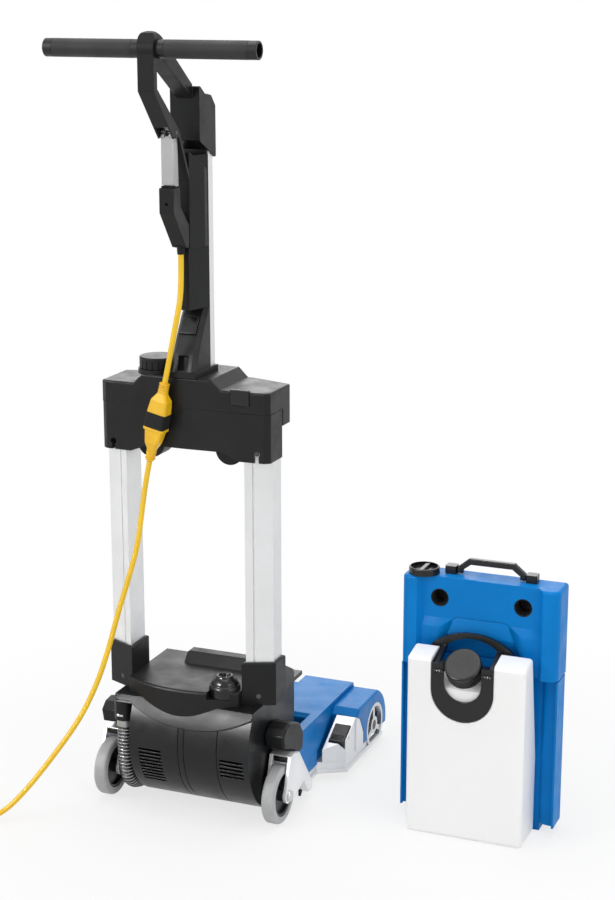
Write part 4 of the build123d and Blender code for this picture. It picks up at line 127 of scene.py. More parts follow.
def noise(tree, vector, scale, detail):
    node = add_node(tree, "ShaderNodeTexNoise")
    node.inputs["Scale"].default_value = scale
    node.inputs["Detail"].default_value = detail
    node.inputs["Roughness"].default_value = noise_roughness
    tree.links.new(vector, node.inputs["Vector"])
    return node.outputs["Fac"]


def remap(tree, value, window, levels):
    node = add_node(tree, "ShaderNodeMapRange")
    node.inputs["From Min"].default_value, node.inputs["From Max"].default_value = window
    node.inputs["To Min"].default_value, node.inputs["To Max"].default_value = levels
    tree.links.new(value, node.inputs["Value"])
    return node.outputs["Result"]


def stretched(tree, vector, scale, turn=(0, 0, 0)):
    node = add_node(tree, "ShaderNodeMapping")
    node.inputs["Rotation"].default_value = turn
    node.inputs["Scale"].default_value = scale
    tree.links.new(vector, node.inputs["Vector"])
    return node.outputs["Vector"]


def tint(tree, factor, low, high):
    """Goes from one colour to another, each given as a plain colour or as a socket."""
    node = add_node(tree, "ShaderNodeMix", data_type="RGBA")
    tree.links.new(factor, node.inputs["Factor"])
    for socket, colour in ((node.inputs[mix_first], low), (node.inputs[mix_second], high)):
        if isinstance(colour, tuple):
            socket.default_value = (*colour, 1)
        else:
            tree.links.new(colour, socket)
    return node.outputs[mix_result]


def scaled(colour, gain):
    return tuple(min(1.0, channel * gain) for channel in colour)


def worn_edges(tree, place, rounded, paint, colour, share):
    """Paint that turns to another colour in patches along the edges."""
    facing = add_node(tree, "ShaderNodeVectorMath", operation="DOT_PRODUCT")
    flat = add_node(tree, "ShaderNodeNewGeometry")
    tree.links.new(rounded, facing.inputs[0])
    tree.links.new(flat.outputs["Normal"], facing.inputs[1])
    rim = remap(tree, facing.outputs["Value"], edge_window, (0, 1))
    patch = remap(tree, noise(tree, place, wear_scale, patch_detail), wear_window, (0, share))
    return tint(tree, combine(tree, "MULTIPLY", rim, patch), paint, colour)


def surface(name, colour, rough, metallic=0.0, vary=0.12, grain=900.0, grain_depth=0.00004,
            grain_strength=0.25, cloud=14.0, rough_vary=0.08, edge=0.0007, worn=None, stretch=None,
            sheen=0.0, specular=0.5, scuff=0.0, flakes=0.0):
    """A moulded, cast or drawn surface: cloudy colour, uneven gloss, grain, rounded edges and wear."""
    material, tree, shader = new_material(name)
    place = add_node(tree, "ShaderNodeTexCoord").outputs["Object"]
    bevel = add_node(tree, "ShaderNodeBevel", samples=4)
    bevel.inputs["Radius"].default_value = edge
    rounded = bevel.outputs["Normal"]

    clouds = remap(tree, noise(tree, place, cloud, cloud_detail), cloud_window, (0, 1))
    paint = tint(tree, clouds, scaled(colour, 1 - vary), scaled(colour, 1 + vary))
    if flakes:
        sparkle = remap(tree, noise(tree, place, flake_scale, 0.0), flake_window, (0, flakes))
        paint = tint(tree, sparkle, paint, scaled(colour, flake_gain))
    if worn:
        paint = worn_edges(tree, place, rounded, paint, *worn)
    tree.links.new(paint, shader.inputs["Base Color"])

    gloss_clouds = noise(tree, place, cloud * gloss_cloud_ratio, patch_detail)
    gloss = remap(tree, gloss_clouds, cloud_window, (rough - rough_vary, rough + rough_vary))
    if scuff:
        scratches = noise(tree, stretched(tree, place, scuff_scale, scuff_turn), 1.0, grain_detail)
        gloss = combine(tree, "ADD", gloss, remap(tree, scratches, scuff_window, (0, scuff)))
    tree.links.new(gloss, shader.inputs["Roughness"])
    shader.inputs["Metallic"].default_value = metallic
    shader.inputs["Sheen Weight"].default_value = sheen
    shader.inputs["Specular IOR Level"].default_value = specular

    grain_place = stretched(tree, place, stretch) if stretch else place
    bump = add_node(tree, "ShaderNodeBump")
    bump.inputs["Strength"].default_value = grain_strength
    bump.inputs["Distance"].default_value = grain_depth
    tree.links.new(noise(tree, grain_place, grain, grain_detail), bump.inputs["Height"])
    tree.links.new(rounded, bump.inputs["Normal"])
    tree.links.new(bump.outputs["Normal"], shader.inputs["Normal"])
    return material


black = surface("black_moulding", (0.0092, 0.0095, 0.0102), 0.40, vary=0.16, grain=2600, grain_depth=0.00005,
                grain_strength=0.35, edge=0.0014, worn=((0.06, 0.06, 0.062), 0.55), scuff=0.12, specular=0.2)
barrel_black = surface("barrel_moulding", (0.0085, 0.0088, 0.0095), 0.34, vary=0.16, grain=2200,
                       grain_depth=0.00003, grain_strength=0.3, edge=0.0015,
                       worn=((0.04, 0.04, 0.042), 0.5), scuff=0.14, specular=0.26)
gloss_black = surface("smooth_black", (0.0075, 0.0076, 0.008), 0.24, grain=700, grain_depth=0.00002,
                      edge=0.0008, worn=((0.04, 0.04, 0.042), 0.4), scuff=0.15, specular=0.36)
bar_black = surface("bar_black", (0.011, 0.0112, 0.012), 0.34, metallic=0.2, grain=1.0,
                    stretch=(40, 1600, 1600), grain_depth=0.00003, edge=0.0006,
                    worn=((0.07, 0.07, 0.072), 0.6), specular=0.42)
rubber = surface("black_rubber", (0.0085, 0.0085, 0.009), 0.66, vary=0.2, grain=1500, grain_depth=0.00006,
                 sheen=0.03, specular=0.2)
grip_rubber = surface("grip_rubber", (0.013, 0.0132, 0.014), 0.58, vary=0.14, grain=2600,
                      grain_depth=0.00008, grain_strength=0.5, sheen=0.07, specular=0.42)
silver = surface("silver_casting", (0.86, 0.862, 0.865), 0.38, metallic=0.5, vary=0.06, grain=1400,
                 grain_depth=0.00003, edge=0.0014, worn=((0.8, 0.8, 0.8), 0.4), scuff=0.1, flakes=0.6)
blue = surface("blue_cover", (0.0, 0.200, 0.575), 0.38, vary=0.07, grain=1500, grain_depth=0.00003,
               edge=0.0016, worn=((0.05, 0.34, 0.76), 0.35), scuff=0.16, specular=0.19)
tank_blue = surface("blue_tank", (0.0, 0.200, 0.590), 0.42, vary=0.08, grain=1100, grain_depth=0.00005,
                    edge=0.0018, worn=((0.05, 0.33, 0.75), 0.4), scuff=0.16, specular=0.11)
column_metal = surface("column_aluminium", (0.73, 0.735, 0.74), 0.38, metallic=0.72, vary=0.04, grain=1.0,
                       stretch=(2600, 2600, 14), grain_depth=0.00003, grain_strength=0.3, rough_vary=0.06,
                       edge=0.0008)
steel = surface("zinc_steel", (0.58, 0.58, 0.585), 0.3, metallic=0.95, vary=0.07, grain=1800, edge=0.0005)
screw_steel = surface("dark_screw", (0.09, 0.09, 0.092), 0.26, metallic=0.85, vary=0.1, grain=1800,
                      edge=0.0004)
lever_metal = surface("lever_steel", (0.40, 0.40, 0.405), 0.36, metallic=0.7, vary=0.05, grain=1.0,
                      stretch=(1600, 1600, 60), grain_depth=0.00003, edge=0.0005)
tyre_grey = surface("grey_tyre", (0.43, 0.435, 0.44), 0.62, vary=0.09, grain=1300, grain_depth=0.00008,
                    grain_strength=0.4, cloud=40, edge=0.0008, sheen=0.1)
rim_black = surface("rim_black", (0.012, 0.012, 0.0125), 0.4, grain=1600, edge=0.0008,
                    worn=((0.05, 0.05, 0.05), 0.5))
core_grey = surface("core_grey", (0.07, 0.07, 0.075), 0.5, grain=1200)
bristle_blue = surface("bristle_nylon", (0.02, 0.09, 0.26), 0.4, vary=0.25, cloud=120)
ring_silver = surface("ring_silver", (0.62, 0.63, 0.64), 0.26, metallic=0.8, vary=0.05, grain=1500,
                      edge=0.0006)
motor_dark = surface("motor_varnish", (0.06, 0.055, 0.05), 0.45, metallic=0.4, grain=700)
motor_can = surface("motor_can", (0.35, 0.35, 0.36), 0.4, metallic=0.8)
felt = surface("filter_felt", (0.6, 0.59, 0.55), 0.9, grain=2400, grain_depth=0.0003, grain_strength=0.8,
               sheen=0.3)
yellow = surface("yellow_jacket", (0.90, 0.56, 0.008), 0.42, vary=0.06, grain=1300, cloud=30,
                 edge=0.0004)
yellow_plug = surface("yellow_moulding", (0.90, 0.52, 0.008), 0.45, vary=0.07, grain=1800,
                      grain_depth=0.00006, cloud=60, edge=0.0016)
white = surface("milky_bottle", (0.985, 0.985, 0.985), 0.46, vary=0.02, grain_depth=0.00006, cloud=9,
                edge=0.0025, scuff=0.1, specular=0.35)
milky = white.node_tree.nodes["Principled BSDF"].inputs
milky["Subsurface Weight"].default_value = 0.25
milky["Subsurface Radius"].default_value = (0.012, 0.012, 0.013)
milky["Subsurface Scale"].default_value = 1.0
hose_black = surface("hose_black", (0.010, 0.0102, 0.011), 0.4, vary=0.15, grain_depth=0.00003, edge=0.0005)
# Painted highlight: a lighter metallic grey on the hose's rib crowns, standing in for the light they catch
hose_painted_highlight = surface("hose_painted_highlight", (0.40, 0.40, 0.41), 0.32, metallic=0.55, vary=0.2, grain_depth=0.00003,
                     cloud=60, edge=0.0005)

# Finish of each piece that is carried over as it is
finishes = {
    black: ("column_sockets", "box_shell", "box_cover", "mast_cover", "handle_loop", "switch_arm",
            "filter_cap", "pivot_cap", "belt_guard", "hose_elbow", "deck"),
    barrel_black: ("motor_housing",),
    gloss_black: ("valve_seat", "pedal", "power_switch", "box_latch", "handle_clips", "drain_knob",
                  "carry_handle", "bottle_yoke", "bottle_bail", "bottle_cap"),
    bar_black: ("t_bar",),
    rubber: ("squeegee_blades", "drive_belt", "lid_seal", "suction_spigots", "cord_strap", "coil_tie",
             "cord_gland"),
    grip_rubber: ("grips",),
    silver: ("base_frame",),
    blue: ("rear_cover", "brush_hood"),
    tank_blue: ("tank_body", "tank_lid"),
    column_metal: ("columns", "mast_extrusion"),
    steel: ("head_pins", "motor_shaft", "valve_poppet"),
    screw_steel: ("upright_pins",),
    lever_metal: ("lever",),
    tyre_grey: ("tyre_left", "tyre_right"),
    rim_black: ("rim_left", "rim_right"),
    core_grey: ("brush_core",),
    ring_silver: ("end_bearing",),
    motor_dark: ("brush_motor",),
    motor_can: ("suction_motor",),
    felt: ("air_filter",),
    yellow_plug: ("cord_connectors", "wall_plug"),
    white: ("bottle",),
}
for finish, names in finishes.items():
    for name in names:
        mesh = nodes[name].data
        mesh.materials.clear()
        mesh.materials.append(finish)


# Pieces built ring by ring
def add_piece(name, work, materials):
    mesh = bpy.data.meshes.new(name)
    work.to_mesh(mesh)
    work.free()
    for material in materials:
        mesh.materials.append(material)
    return link(bpy.data.objects.new(name, mesh))


def ring(work, centre, side, up, radius, count):
    angles = [2 * math.pi * turn / count for turn in range(count)]
    return [work.verts.new(centre + (side * math.cos(angle) + up * math.sin(angle)) * radius)
            for angle in angles]


def skin(work, near, far, smooth_shaded=True):
    """Four-sided faces all the way round between two rings."""
    count = len(near)
    faces = []
    for turn in range(count):
        after = (turn + 1) % count
        face = work.faces.new((near[turn], near[after], far[after], far[turn]))
        face.smooth = smooth_shaded
        faces.append(face)
    return faces


def cap_ends(work, rings):
    work.faces.new(list(reversed(rings[0])))
    work.faces.new(rings[-1])


def tube(name, path, radii, sides, materials, painted_highlight_r=math.inf):
    """A closed skin along a path, one radius per ring; rings from the given radius up take its second
    material, a painted highlight.
    """
    work = bmesh.new()
    rings = []
    side = None
    for index, spot in enumerate(path):
        ahead = path[min(index + 1, len(path) - 1)] - path[max(index - 1, 0)]
        ahead.normalize()
        if side is None:
            side = ahead.orthogonal().normalized()
        side = (side - ahead * side.dot(ahead)).normalized()
        rings.append(ring(work, spot, side, ahead.cross(side), radii[index], sides))
    for index, (near, far) in enumerate(zip(rings, rings[1:])):
        # Rings this wide are the rib crowns, which take the painted highlight
        in_painted_highlight = min(radii[index], radii[index + 1]) >= painted_highlight_r
        for face in skin(work, near, far):
            face.material_index = int(in_painted_highlight)
    cap_ends(work, rings)
    return add_piece(name, work, materials)


# Cords: one spline each, on the same route as the solids
def spline_curve(name, points):
    curve = bpy.data.curves.new(name, "CURVE")
    curve.dimensions = "3D"
    spline = curve.splines.new("NURBS")
    spline.points.add(len(points) - 1)
    for knot, point in zip(spline.points, points):
        knot.co = (*point, 1)
    spline.order_u = 3
    spline.use_endpoint_u = True
    curve.resolution_u = 8
    return curve


def spline_line(name, points):
    """The points of a route's smooth line."""
    curve = spline_curve(name, points)
    holder = link(bpy.data.objects.new(name, curve))
    bpy.context.view_layer.update()
    line = bpy.data.meshes.new_from_object(holder)
    path = [vertex.co.copy() for vertex in line.vertices]
    bpy.data.objects.remove(holder)
    bpy.data.curves.remove(curve)
    bpy.data.meshes.remove(line)
    return path


def running_length(path):
    run = [0.0]
    for here, there in zip(path, path[1:]):
        run.append(run[-1] + (there - here).length)
    return run


# Machine lead: it hangs from its gland to the yellow connector
cord_half = 4.0
cord_r = cord_half / 1000
cord_sides = 12
lead_points = [mm(0, -14, 844), mm(0, -14, 818), mm(1, -20, 780), mm(-6, -28, 734), mm(-12.8, -31, 694.6),
               mm(-20.4, -31, 661.5)]
lead_curve = spline_curve("machine_lead_cord", lead_points)
lead_curve.bevel_depth = cord_r
lead_curve.bevel_resolution = 6
lead_curve.use_fill_caps = True
lead_curve.materials.append(yellow)
lead = link(bpy.data.objects.new("machine_lead_cord", lead_curve))
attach(lead, "upright")
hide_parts("machine_lead")

# Extension cord: it hangs to the floor, runs out of view and lies in a tied coil, its plug on top
coil_centre = (-365.0, -202.0)
coil_outer_r = 93.5
coil_pitch = 8.85
coil_layer_turns = 5
coil_layers = 4
coil_turns = coil_layer_turns * coil_layers
coil_lift = 2.0
coil_z = cord_half + coil_lift
coil_start = math.radians(-8)
coil_climb = 0.25
plug_half = 12
tail_turns = 0.6
tail_r = 70.0
tail_z = coil_z + (coil_layers - 1) * coil_pitch + cord_half + plug_half
tail_draws_in_from = 0.375
tail_climbs_until = 2 / 3
tail_shares = (0.12, 0.25, 0.38, 0.5, 0.62, 0.75, 0.88)
tail_straight = 8
knots_per_turn = 16
# A spline of order 3 runs inside its knots, so on a round they stand out by this share
knot_swell = 1 / (0.75 + 0.25 * math.cos(2 * math.pi / knots_per_turn))


def smooth(share):
    share = max(0.0, min(1.0, share))
    return share * share * (3 - 2 * share)


def coil_knot(turn):
    layer = min(int(turn / coil_layer_turns), coil_layers - 1)
    into = turn - layer * coil_layer_turns
    radius = coil_outer_r - coil_pitch * (into if layer % 2 == 0 else coil_layer_turns - into)
    height = coil_z + layer * coil_pitch
    for reversal in range(1, coil_layers):
        share = (turn - reversal * coil_layer_turns + coil_climb) / (2 * coil_climb)
        if 0 < share < 1:
            height = coil_z + (reversal - 1 + smooth(share)) * coil_pitch
    tail = (turn - coil_turns) / tail_turns
    if tail > 0:
        drawn_in = smooth((tail - tail_draws_in_from) / (1 - tail_draws_in_from))
        radius = coil_outer_r + (tail_r - coil_outer_r) * drawn_in
        height = height + (tail_z - height) * smooth(tail / tail_climbs_until)
    angle = coil_start - 2 * math.pi * turn
    radius = radius * knot_swell
    return mm(coil_centre[0] + radius * math.cos(angle), coil_centre[1] + radius * math.sin(angle), height)


hang_points = [mm(-46.9, -31, 545.9), mm(-53.6, -31, 516.7), mm(-58, -37.6, 471), mm(-64, -41.6, 419),
               mm(-77, -49.9, 366), mm(-90, -57.5, 320), mm(-104, -66, 260), mm(-120, -76.1, 206),
               mm(-143, -90.1, 152), mm(-178, -112, 96), mm(-214, -134.5, 44), mm(-244, -152, 11),
               mm(-267.7, -181.4, 6)]
coil_knots = [coil_knot(step / knots_per_turn) for step in range(knots_per_turn * coil_turns + 1)]
tail_knots = [coil_knot(coil_turns + tail_turns * share) for share in tail_shares]
tail_angle = coil_start - 2 * math.pi * (coil_turns + tail_turns)
tail_end = mm(coil_centre[0] + tail_r * math.cos(tail_angle) + tail_straight * math.sin(tail_angle),
              coil_centre[1] + tail_r * math.sin(tail_angle) - tail_straight * math.cos(tail_angle), tail_z)
extension_path = spline_line("extension_route", hang_points + coil_knots + tail_knots + [tail_end])
extension = tube("extension_lead", extension_path, [cord_r] * len(extension_path), cord_sides, [yellow])
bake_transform(extension)
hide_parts("extension_cord", "cord_coil")

# Ribbed suction hose from the elbow to the tray, with a painted highlight in lighter metallic grey on its rib
# crowns
hose_x = -100.0
hose_top_y = -26
hose_low_z = 20
hose_r = 0.0128
hose_sides = 28
hose_plain = 0.022
rib_pitch = 0.0054
rib_wave = ((0, hose_r), (0.18, 0.01275), (0.36, 0.0125), (0.5, 0.0116), (0.62, 0.0109), (0.76, 0.0109),
            (0.88, 0.0116))
# Rings from this radius up, the rib crowns, take the painted highlight
painted_highlight_from_r = 0.01249
hose_bend = ((hose_top_y, 151), (hose_top_y, 126), (hose_top_y, 96), (hose_top_y, 62), (-14, 34), (14, 21),
             (46, hose_low_z), (84, hose_low_z), (124.7, hose_low_z))
hose_points = [mm(hose_x, y, z) for y, z in hose_bend]
hose_route = spline_line("hose_route", hose_points)
hose_run = running_length(hose_route)


def along_hose(distance):
    for index in range(1, len(hose_run)):
        if distance <= hose_run[index]:
            share = (distance - hose_run[index - 1]) / (hose_run[index] - hose_run[index - 1])
            return hose_route[index - 1].lerp(hose_route[index], share)
    return hose_route[-1].copy()


hose_path, hose_radii = [along_hose(0)], [hose_r]
for rib in range(int((hose_run[-1] - 2 * hose_plain) / rib_pitch)):
    for share, radius in rib_wave:
        hose_path.append(along_hose(hose_plain + (rib + share) * rib_pitch))
        hose_radii.append(radius)
hose_path.append(along_hose(hose_run[-1]))
hose_radii.append(hose_r)
hose = tube("ribbed_hose", hose_path, hose_radii, hose_sides, [hose_black, hose_painted_highlight], painted_highlight_from_r)
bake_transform(hose)
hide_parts("suction_hose")

# Brush: close rows of tapered strands on the sleeve
random.seed(11)
brush_low, brush_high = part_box("bristles")
brush_middle = (brush_low + brush_high) / 2
brush_length = brush_high.x - brush_low.x
sleeve_r, tip_r = 0.025, 0.0408
sleeve_sides = 48
rows, spokes = 44, 34
root_sink = 0.001
root_half, tip_half = 0.0013, 0.0007
stray_turn = 0.15
stray_lean = 0.06


def add_strand(work, root, out):
    across = Vector((1, 0, 0))
    beside = out.cross(across)
    tip = root + out * (tip_r - sleeve_r)
    ends = [[work.verts.new(spot + across * sx * half + beside * sy * half)
             for sx, sy in ((-1, -1), (1, -1), (1, 1), (-1, 1))]
            for spot, half in ((root, root_half), (tip, tip_half))]
    skin(work, *ends, smooth_shaded=False)
    work.faces.new(ends[1])


work = bmesh.new()
bmesh.ops.create_cone(work, cap_ends=False, segments=sleeve_sides, radius1=sleeve_r, radius2=sleeve_r,
                      depth=brush_length,
                      matrix=Matrix.Translation(brush_middle) @ Matrix.Rotation(math.radians(90), 4, "Y"))
for row in range(rows):
    row_x = brush_low.x + (row + 0.5) / rows * brush_length
    row_place = Vector((row_x, brush_middle.y, brush_middle.z))
    for spoke in range(spokes):
        stray = random.uniform(-stray_turn, stray_turn)
        angle = 2 * math.pi * (spoke + 0.5 * (row % 2) + stray) / spokes
        lean = random.uniform(-stray_lean, stray_lean)
        out = Vector((lean, math.cos(angle), math.sin(angle))).normalized()
        add_strand(work, row_place + out * (sleeve_r - root_sink), out)
strands = add_piece("brush_strands", work, [bristle_blue])
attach(strands, "brush")
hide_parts("bristles")

# Small pieces, each with its finish and the body it moves with
flat_angle = 0.02
same_point = 0.000001


def add_small_piece(name, work, material, body):
    piece = add_piece(name, work, [material])
    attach(piece, body)


def round_edges(work, bevel, segments):
    bmesh.ops.bevel(work, geom=work.edges[:], offset=bevel, segments=segments, affect="EDGES", profile=0.5)
    for face in work.faces:
        face.smooth = True


def rounded_box(name, low, high, material, body, bevel):
    work = bmesh.new()
    size = Vector(high) - Vector(low)
    centre = (Vector(high) + Vector(low)) / 2
    bmesh.ops.create_cube(work, size=1, matrix=Matrix.Translation(centre) @ Matrix.Diagonal((*size, 1)))
    round_edges(work, bevel, segments=3)
    add_small_piece(name, work, material, body)


def lathe(name, start, heading, profile, material, body, sides):
    """A turned piece: radius against distance along a line. A profile that ends where it starts is a band."""
    work = bmesh.new()
    ahead = Vector(heading).normalized()
    side = ahead.orthogonal().normalized()
    up = ahead.cross(side)
    rings = [ring(work, Vector(start) + ahead * distance, side, up, radius, sides)
             for distance, radius in profile]
    for near, far in zip(rings, rings[1:]):
        skin(work, near, far)
    if profile[0] != profile[-1]:
        cap_ends(work, rings)
    bmesh.ops.remove_doubles(work, verts=work.verts[:], dist=same_point)
    bmesh.ops.recalc_face_normals(work, faces=work.faces[:])
    add_small_piece(name, work, material, body)


def pin_profile(length, radius, end_r, chamfer):
    return ((0, end_r), (chamfer, radius), (length - chamfer, radius), (length, end_r))


def prism(name, outline, depth, material, body, bevel):
    """A flat outline pushed along a vector, with its edges rounded."""
    work = bmesh.new()
    near = [work.verts.new(Vector(point)) for point in outline]
    far = [work.verts.new(Vector(point) + Vector(depth)) for point in outline]
    work.faces.new(near)
    work.faces.new(list(reversed(far)))
    count = len(outline)
    for index in range(count):
        work.faces.new((near[index], far[index], far[(index + 1) % count], near[(index + 1) % count]))
    bmesh.ops.recalc_face_normals(work, faces=work.faces[:])
    round_edges(work, bevel, segments=2)
    add_small_piece(name, work, material, body)


def hull(name, points, material, body, bevel):
    """The convex solid round a few corner points, with its edges rounded."""
    work = bmesh.new()
    for point in points:
        work.verts.new(Vector(point))
    found = bmesh.ops.convex_hull(work, input=work.verts[:])
    loose = [item for item in found["geom_interior"] if isinstance(item, bmesh.types.BMVert)]
    bmesh.ops.delete(work, geom=loose, context="VERTS")
    bmesh.ops.dissolve_limit(work, angle_limit=flat_angle, verts=work.verts[:], edges=work.edges[:])
    round_edges(work, bevel, segments=3)
    add_small_piece(name, work, material, body)


# Dark window plates in the forks, over the middle of the wheels
window_half = 11
window_y0, window_y1 = 7.6, 9.4
window_z0, window_z1 = 92, 100.6
for side, _ in both_sides:
    x = middle_x(f"tyre_{side}")
    rounded_box(f"fork_window_{side}", mm(x - window_half, window_y0, window_z0),
                mm(x + window_half, window_y1, window_z1), gloss_black, "chassis", bevel=0.0006)

# Ribbed necks of the connector and the plug, on the line from one cord's end to the other's start
joint_top = Vector(lead_points[-1])
joint_line = (Vector(hang_points[0]) - joint_top).normalized()
neck_rib = ((0, 0.0052), (0.0004, 0.0073), (0.0011, 0.0077), (0.0018, 0.0073), (0.0022, 0.0052))
neck_rib_half = 0.0011
neck_rib_places = {"connector_ribs": (1.5, 5.0, 8.5, 12.0), "plug_ribs": (103.0, 107.0, 111.0, 115.0)}
for name, places in neck_rib_places.items():
    for number, place in enumerate(mm(*places)):
        lathe(f"{name}_{number}", joint_top + joint_line * (place - neck_rib_half), joint_line, neck_rib,
              yellow_plug, "upright", sides=28)

# Clamp band at the top of the hose, with its screw housing
clamp_z = 150.5
clamp_band = ((0, 0.0131), (0.0004, 0.0139), (0.0024, 0.0139), (0.003, 0.0136), (0.0036, 0.0139),
              (0.0066, 0.0139), (0.007, 0.0131), (0, 0.0131))
lathe("hose_clamp", mm(hose_x, hose_top_y, clamp_z), (0, 0, -1), clamp_band, steel, "upright", sides=40)
screw_x, screw_y, screw_z = hose_x - 6, -40.6, 147
screw_housing = ((0, 0.0016), (0.0004, 0.0024), (0.0026, 0.0026), (0.003, 0.0021), (0.010, 0.0021),
                 (0.0104, 0.0014))
lathe("hose_clamp_screw", mm(screw_x, screw_y, screw_z), (1, 0, 0), screw_housing, steel, "upright", sides=20)

# Grip bars across the rear half of the pedal, on its slanted top
ramp_run, ramp_rise = 64, 35
ramp_along = Vector((0, ramp_run, ramp_rise)).normalized()
ramp_out = Vector((0, -ramp_rise, ramp_run)).normalized()
pedal_middle = Vector(mm(163, 190, 68.5))
pedal_top = 0.0028
bar_places = (-13.6, -10.8, -8.0, -5.2)
bar_half = 0.0098
bar_section = ((-0.0008, -0.0004), (-0.0006, 0.0009), (0.0006, 0.0009), (0.0008, -0.0004))
for number, place in enumerate(mm(*bar_places)):
    foot = pedal_middle + ramp_along * place + ramp_out * pedal_top - Vector((bar_half, 0, 0))
    outline = [foot + ramp_along * along + ramp_out * out for along, out in bar_section]
    prism(f"pedal_bar_{number}", outline, (2 * bar_half, 0, 0), gloss_black, "pedal", bevel=0.0003)

# Rims and floors of the two ports in the lid
tank_x = middle_x("tank_lid")
panel_y = 103.2
port_x, port_z = 62.5, 346
port_floor_y = 125.5
port_rim = ((0.004, 0.0134), (0.0, 0.0134), (-0.0004, 0.0130), (-0.0002, 0.0124), (0.001, 0.0118),
            (0.024, 0.0104), (0.024, 0.0134), (0.004, 0.0134))
port_floor = ((0, 0.0104), (0.0004, 0.0106), (0.0012, 0.0106), (0.0014, 0.0104))
for side, sx in both_sides:
    x = tank_x + sx * port_x
    lathe(f"port_rim_{side}", mm(x, panel_y, port_z), (0, 1, 0), port_rim, rubber, "lid", sides=44)
    lathe(f"port_floor_{side}", mm(x, port_floor_y, port_z), (0, 1, 0), port_floor, rubber, "lid", sides=44)

# Ledges beside the middle recess, each from an outline just inside the panel to a smaller one in front
ledge_back_y, ledge_front_y = 104, 99.2
ledge_back = ((90, 319), (38, 319), (74, 292), (74, 244), (90, 244))
ledge_front = ((90, 302), (62, 302), (74, 290), (74, 244), (90, 244))
ledge_corners = [(x, ledge_back_y, z) for x, z in ledge_back]
ledge_corners += [(x, ledge_front_y, z) for x, z in ledge_front]
for side, sx in both_sides:
    ledge_points = [mm(tank_x + sx * x, y, z) for x, y, z in ledge_corners]
    hull(f"ledge_{side}", ledge_points, tank_blue, "lid", bevel=0.0009)

# Slope that runs from the panel down into the recess behind the bottle's handle
recess_y = 115.8
slope_corners = ((37, panel_y, 318.6), (73, panel_y, 292), (73, 115.6, 258), (73, recess_y, 292),
                 (37, recess_y, 318.6))
slope_points = [mm(tank_x + sx * x, y, z) for _, sx in both_sides for x, y, z in slope_corners]
hull("recess_slope", slope_points, tank_blue, "lid", bevel=0.0008)

# Hinge knuckles of the bottle's handle at the top ends of the yoke, and the pins through them
yoke_x = middle_x("bottle_yoke")
yoke_hinge_z = 257
knuckle_y, pin_y = 43.2, 42.6
knuckle_places = (29.6, 34.0, 38.4)
pin_place = 29.0
knuckle = pin_profile(0.0035, 0.0036, end_r=0.0026, chamfer=0.0005)
hinge_pin = pin_profile(0.0134, 0.0018, end_r=0.0006, chamfer=0.0004)
for side, sx in both_sides:
    for number, place in enumerate(knuckle_places):
        lathe(f"yoke_knuckle_{side}_{number}", mm(yoke_x + sx * place, knuckle_y, yoke_hinge_z), (sx, 0, 0),
              knuckle, gloss_black, "water_bottle", sides=28)
    lathe(f"yoke_pin_{side}", mm(yoke_x + sx * pin_place, pin_y, yoke_hinge_z), (sx, 0, 0),
          hinge_pin, steel, "water_bottle", sides=24)

# Lip that closes the mast cover under the casing
lip_half = 19.6
lip_y0, lip_y1 = 33, 36.9
lip_z0, lip_z1 = 977, 988
rounded_box("mast_cover_lip", mm(-lip_half, lip_y0, lip_z0), mm(lip_half, lip_y1, lip_z1), black, "upright",
            bevel=0.0005)

# Round shoulder and lip over the water coupling's neck
coupling_place = mm(62.8, -20, 211)
coupling_profile = ((0, 0.0150), (0, 0.0222), (0.0012, 0.0226), (0.0030, 0.0222), (0.0040, 0.0208),
                    (0.0046, 0.0198), (0.0056, 0.0200), (0.0080, 0.0192), (0.0106, 0.0176), (0.0130, 0.0154),
                    (0.0144, 0.0136), (0.0152, 0.0126), (0.0164, 0.0124), (0.0174, 0.0116), (0.0176, 0.0104),
                    (0.0170, 0.0092), (0.0156, 0.0084), (0.0140, 0.0080), (0, 0.0150))
lathe("coupling_dome", coupling_place, (0, 0, 1), coupling_profile, gloss_black, "upright", sides=64)

# Lever: hinge barrels, and a deeper flange on the right
lever_hinge_y, lever_hinge_z = -49.6, 1011.4
lever_barrel_x = {"left": -8.6, "right": 3.4}
lever_barrel = pin_profile(0.0052, 0.0040, end_r=0.0034, chamfer=0.0004)
for side, x in lever_barrel_x.items():
    lathe(f"lever_barrel_{side}", mm(x, lever_hinge_y, lever_hinge_z), (1, 0, 0), lever_barrel, lever_metal,
          "lever", sides=32)
flange_x, flange_thick = 8.4, 1.3
flange_outline = ((-51.2, 1003), (-38.6, 1003), (-36.4, 941.8), (-45, 941.8), (-51.2, 944.6))
prism("lever_flange", [mm(flange_x, y, z) for y, z in flange_outline], mm(flange_thick, 0, 0), lever_metal,
      "lever", bevel=0.0003)

# Ribbed button below the lever's tip
button_y0, button_y1 = -54.6, -44
button_z0, button_z1 = 939.6, 943.2
button_places = (-8.4, -5.0, -1.6, 1.8, 5.2)
button_width = 3.0
for number, x in enumerate(button_places):
    rounded_box(f"switch_button_{number}", mm(x, button_y0, button_z0),
                mm(x + button_width, button_y1, button_z1), rubber, "upright", bevel=0.0005)

# Bead of the joint between the box's shell and cover
bead_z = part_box("box_shell")[1].z
bead_r = 0.0006
bead_sides = 10
bead_corners = ((-133, 36), (-133, -8), (-125, -14), (0, -18), (125, -14), (133, -8), (133, 36))
bead_path = [Vector((*mm(x, y), bead_z)) for x, y in bead_corners]
bead = tube("box_joint_bead", bead_path, [bead_r] * len(bead_path), bead_sides, [rubber])
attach(bead, "upright")

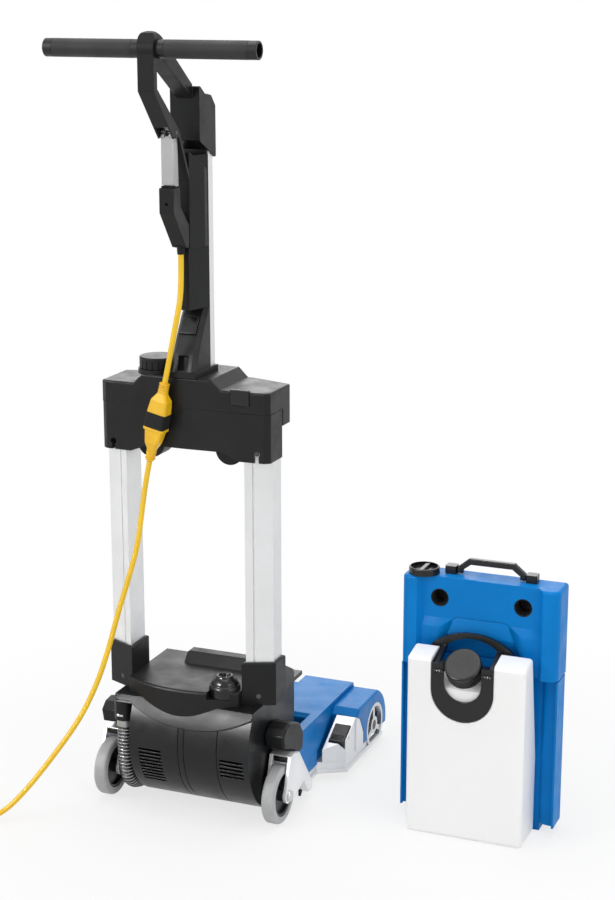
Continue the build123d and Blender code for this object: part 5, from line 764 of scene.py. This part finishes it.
# Floor: white to the camera and in reflections, with some of its lit grey near the object for the shadow
floor_half = 14
floor_drop = 0.0006
shade_centre = (0.14, 0.12, 0)
shade_reach = (0.35, 0.85)
white_levels = (0.72, 1.0)
floor_material, tree, shader = new_material("pale_floor")
shader.inputs["Base Color"].default_value = (0.86, 0.86, 0.86, 1)
shader.inputs["Roughness"].default_value = 0.9
shader.inputs["Specular IOR Level"].default_value = 0.1
glow = add_node(tree, "ShaderNodeEmission")
glow.inputs["Color"].default_value = (1, 1, 1, 1)
glow.inputs["Strength"].default_value = 1.0
rays = add_node(tree, "ShaderNodeLightPath").outputs
seen = combine(tree, "MAXIMUM", rays["Is Camera Ray"], rays["Is Glossy Ray"])
reach = add_node(tree, "ShaderNodeVectorMath", operation="DISTANCE")
reach.inputs[1].default_value = shade_centre
tree.links.new(add_node(tree, "ShaderNodeNewGeometry").outputs["Position"], reach.inputs[0])
white_share = remap(tree, reach.outputs["Value"], shade_reach, white_levels)
mixer = add_node(tree, "ShaderNodeMixShader")
tree.links.new(combine(tree, "MULTIPLY", seen, white_share), mixer.inputs[0])
tree.links.new(shader.outputs[0], mixer.inputs[1])
tree.links.new(glow.outputs[0], mixer.inputs[2])
tree.links.new(mixer.outputs[0], tree.nodes["Material Output"].inputs["Surface"])
work = bmesh.new()
bmesh.ops.create_grid(work, x_segments=1, y_segments=1, size=floor_half)
floor = add_piece("floor", work, [floor_material])
floor.location.z = -floor_drop

# World: white where it is seen, directly, through or in a surface, and dimmer as light
world_light = 0.45
world = bpy.data.worlds.new("studio")
scene.world = world
world.use_nodes = True
tree = world.node_tree
background = tree.nodes["Background"]
background.inputs["Color"].default_value = (1, 1, 1, 1)
rays = add_node(tree, "ShaderNodeLightPath").outputs
seen = combine(tree, "MAXIMUM", rays["Is Camera Ray"], rays["Is Transmission Ray"])
seen = combine(tree, "MAXIMUM", seen, rays["Is Glossy Ray"])
tree.links.new(remap(tree, seen, (0, 1), (world_light, 1.0)), background.inputs["Strength"])


# Lamps
def lamp(name, place, aim, size, power, shine_only=False, spread=180):
    """An area lamp that the camera doesn't see. With shine_only it shows as gloss alone."""
    data = bpy.data.lights.new(name, "AREA")
    data.shape = "RECTANGLE"
    data.size, data.size_y = size
    data.energy = power
    data.spread = math.radians(spread)
    obj = link(bpy.data.objects.new(name, data))
    obj.location = place
    obj.rotation_euler = (Vector(aim) - Vector(place)).to_track_quat("-Z", "Y").to_euler()
    obj.visible_camera = False
    obj.visible_diffuse = not shine_only


lamp("overhead", (0.1, 0.2, 3.2), (0.1, 0.1, 0.3), (2.4, 2.4), 46)
lamp("left_key", (-2.2, -2.3, 2.1), (0.1, 0.1, 0.5), (1.6, 2.0), 40)
lamp("right_fill", (2.9, -1.2, 1.5), (0.1, 0.1, 0.5), (1.4, 2.0), 26)
lamp("front_shine", (-1.0, -2.0, 1.35), (0.05, -0.02, 0.12), (1.0, 0.5), 3.6, shine_only=True, spread=30)
lamp("back_shine", (-1.2, 3.0, 1.5), (0.05, 0.1, 0.4), (2.6, 1.0), 22, shine_only=True)

scene.view_settings.view_transform = "Standard"
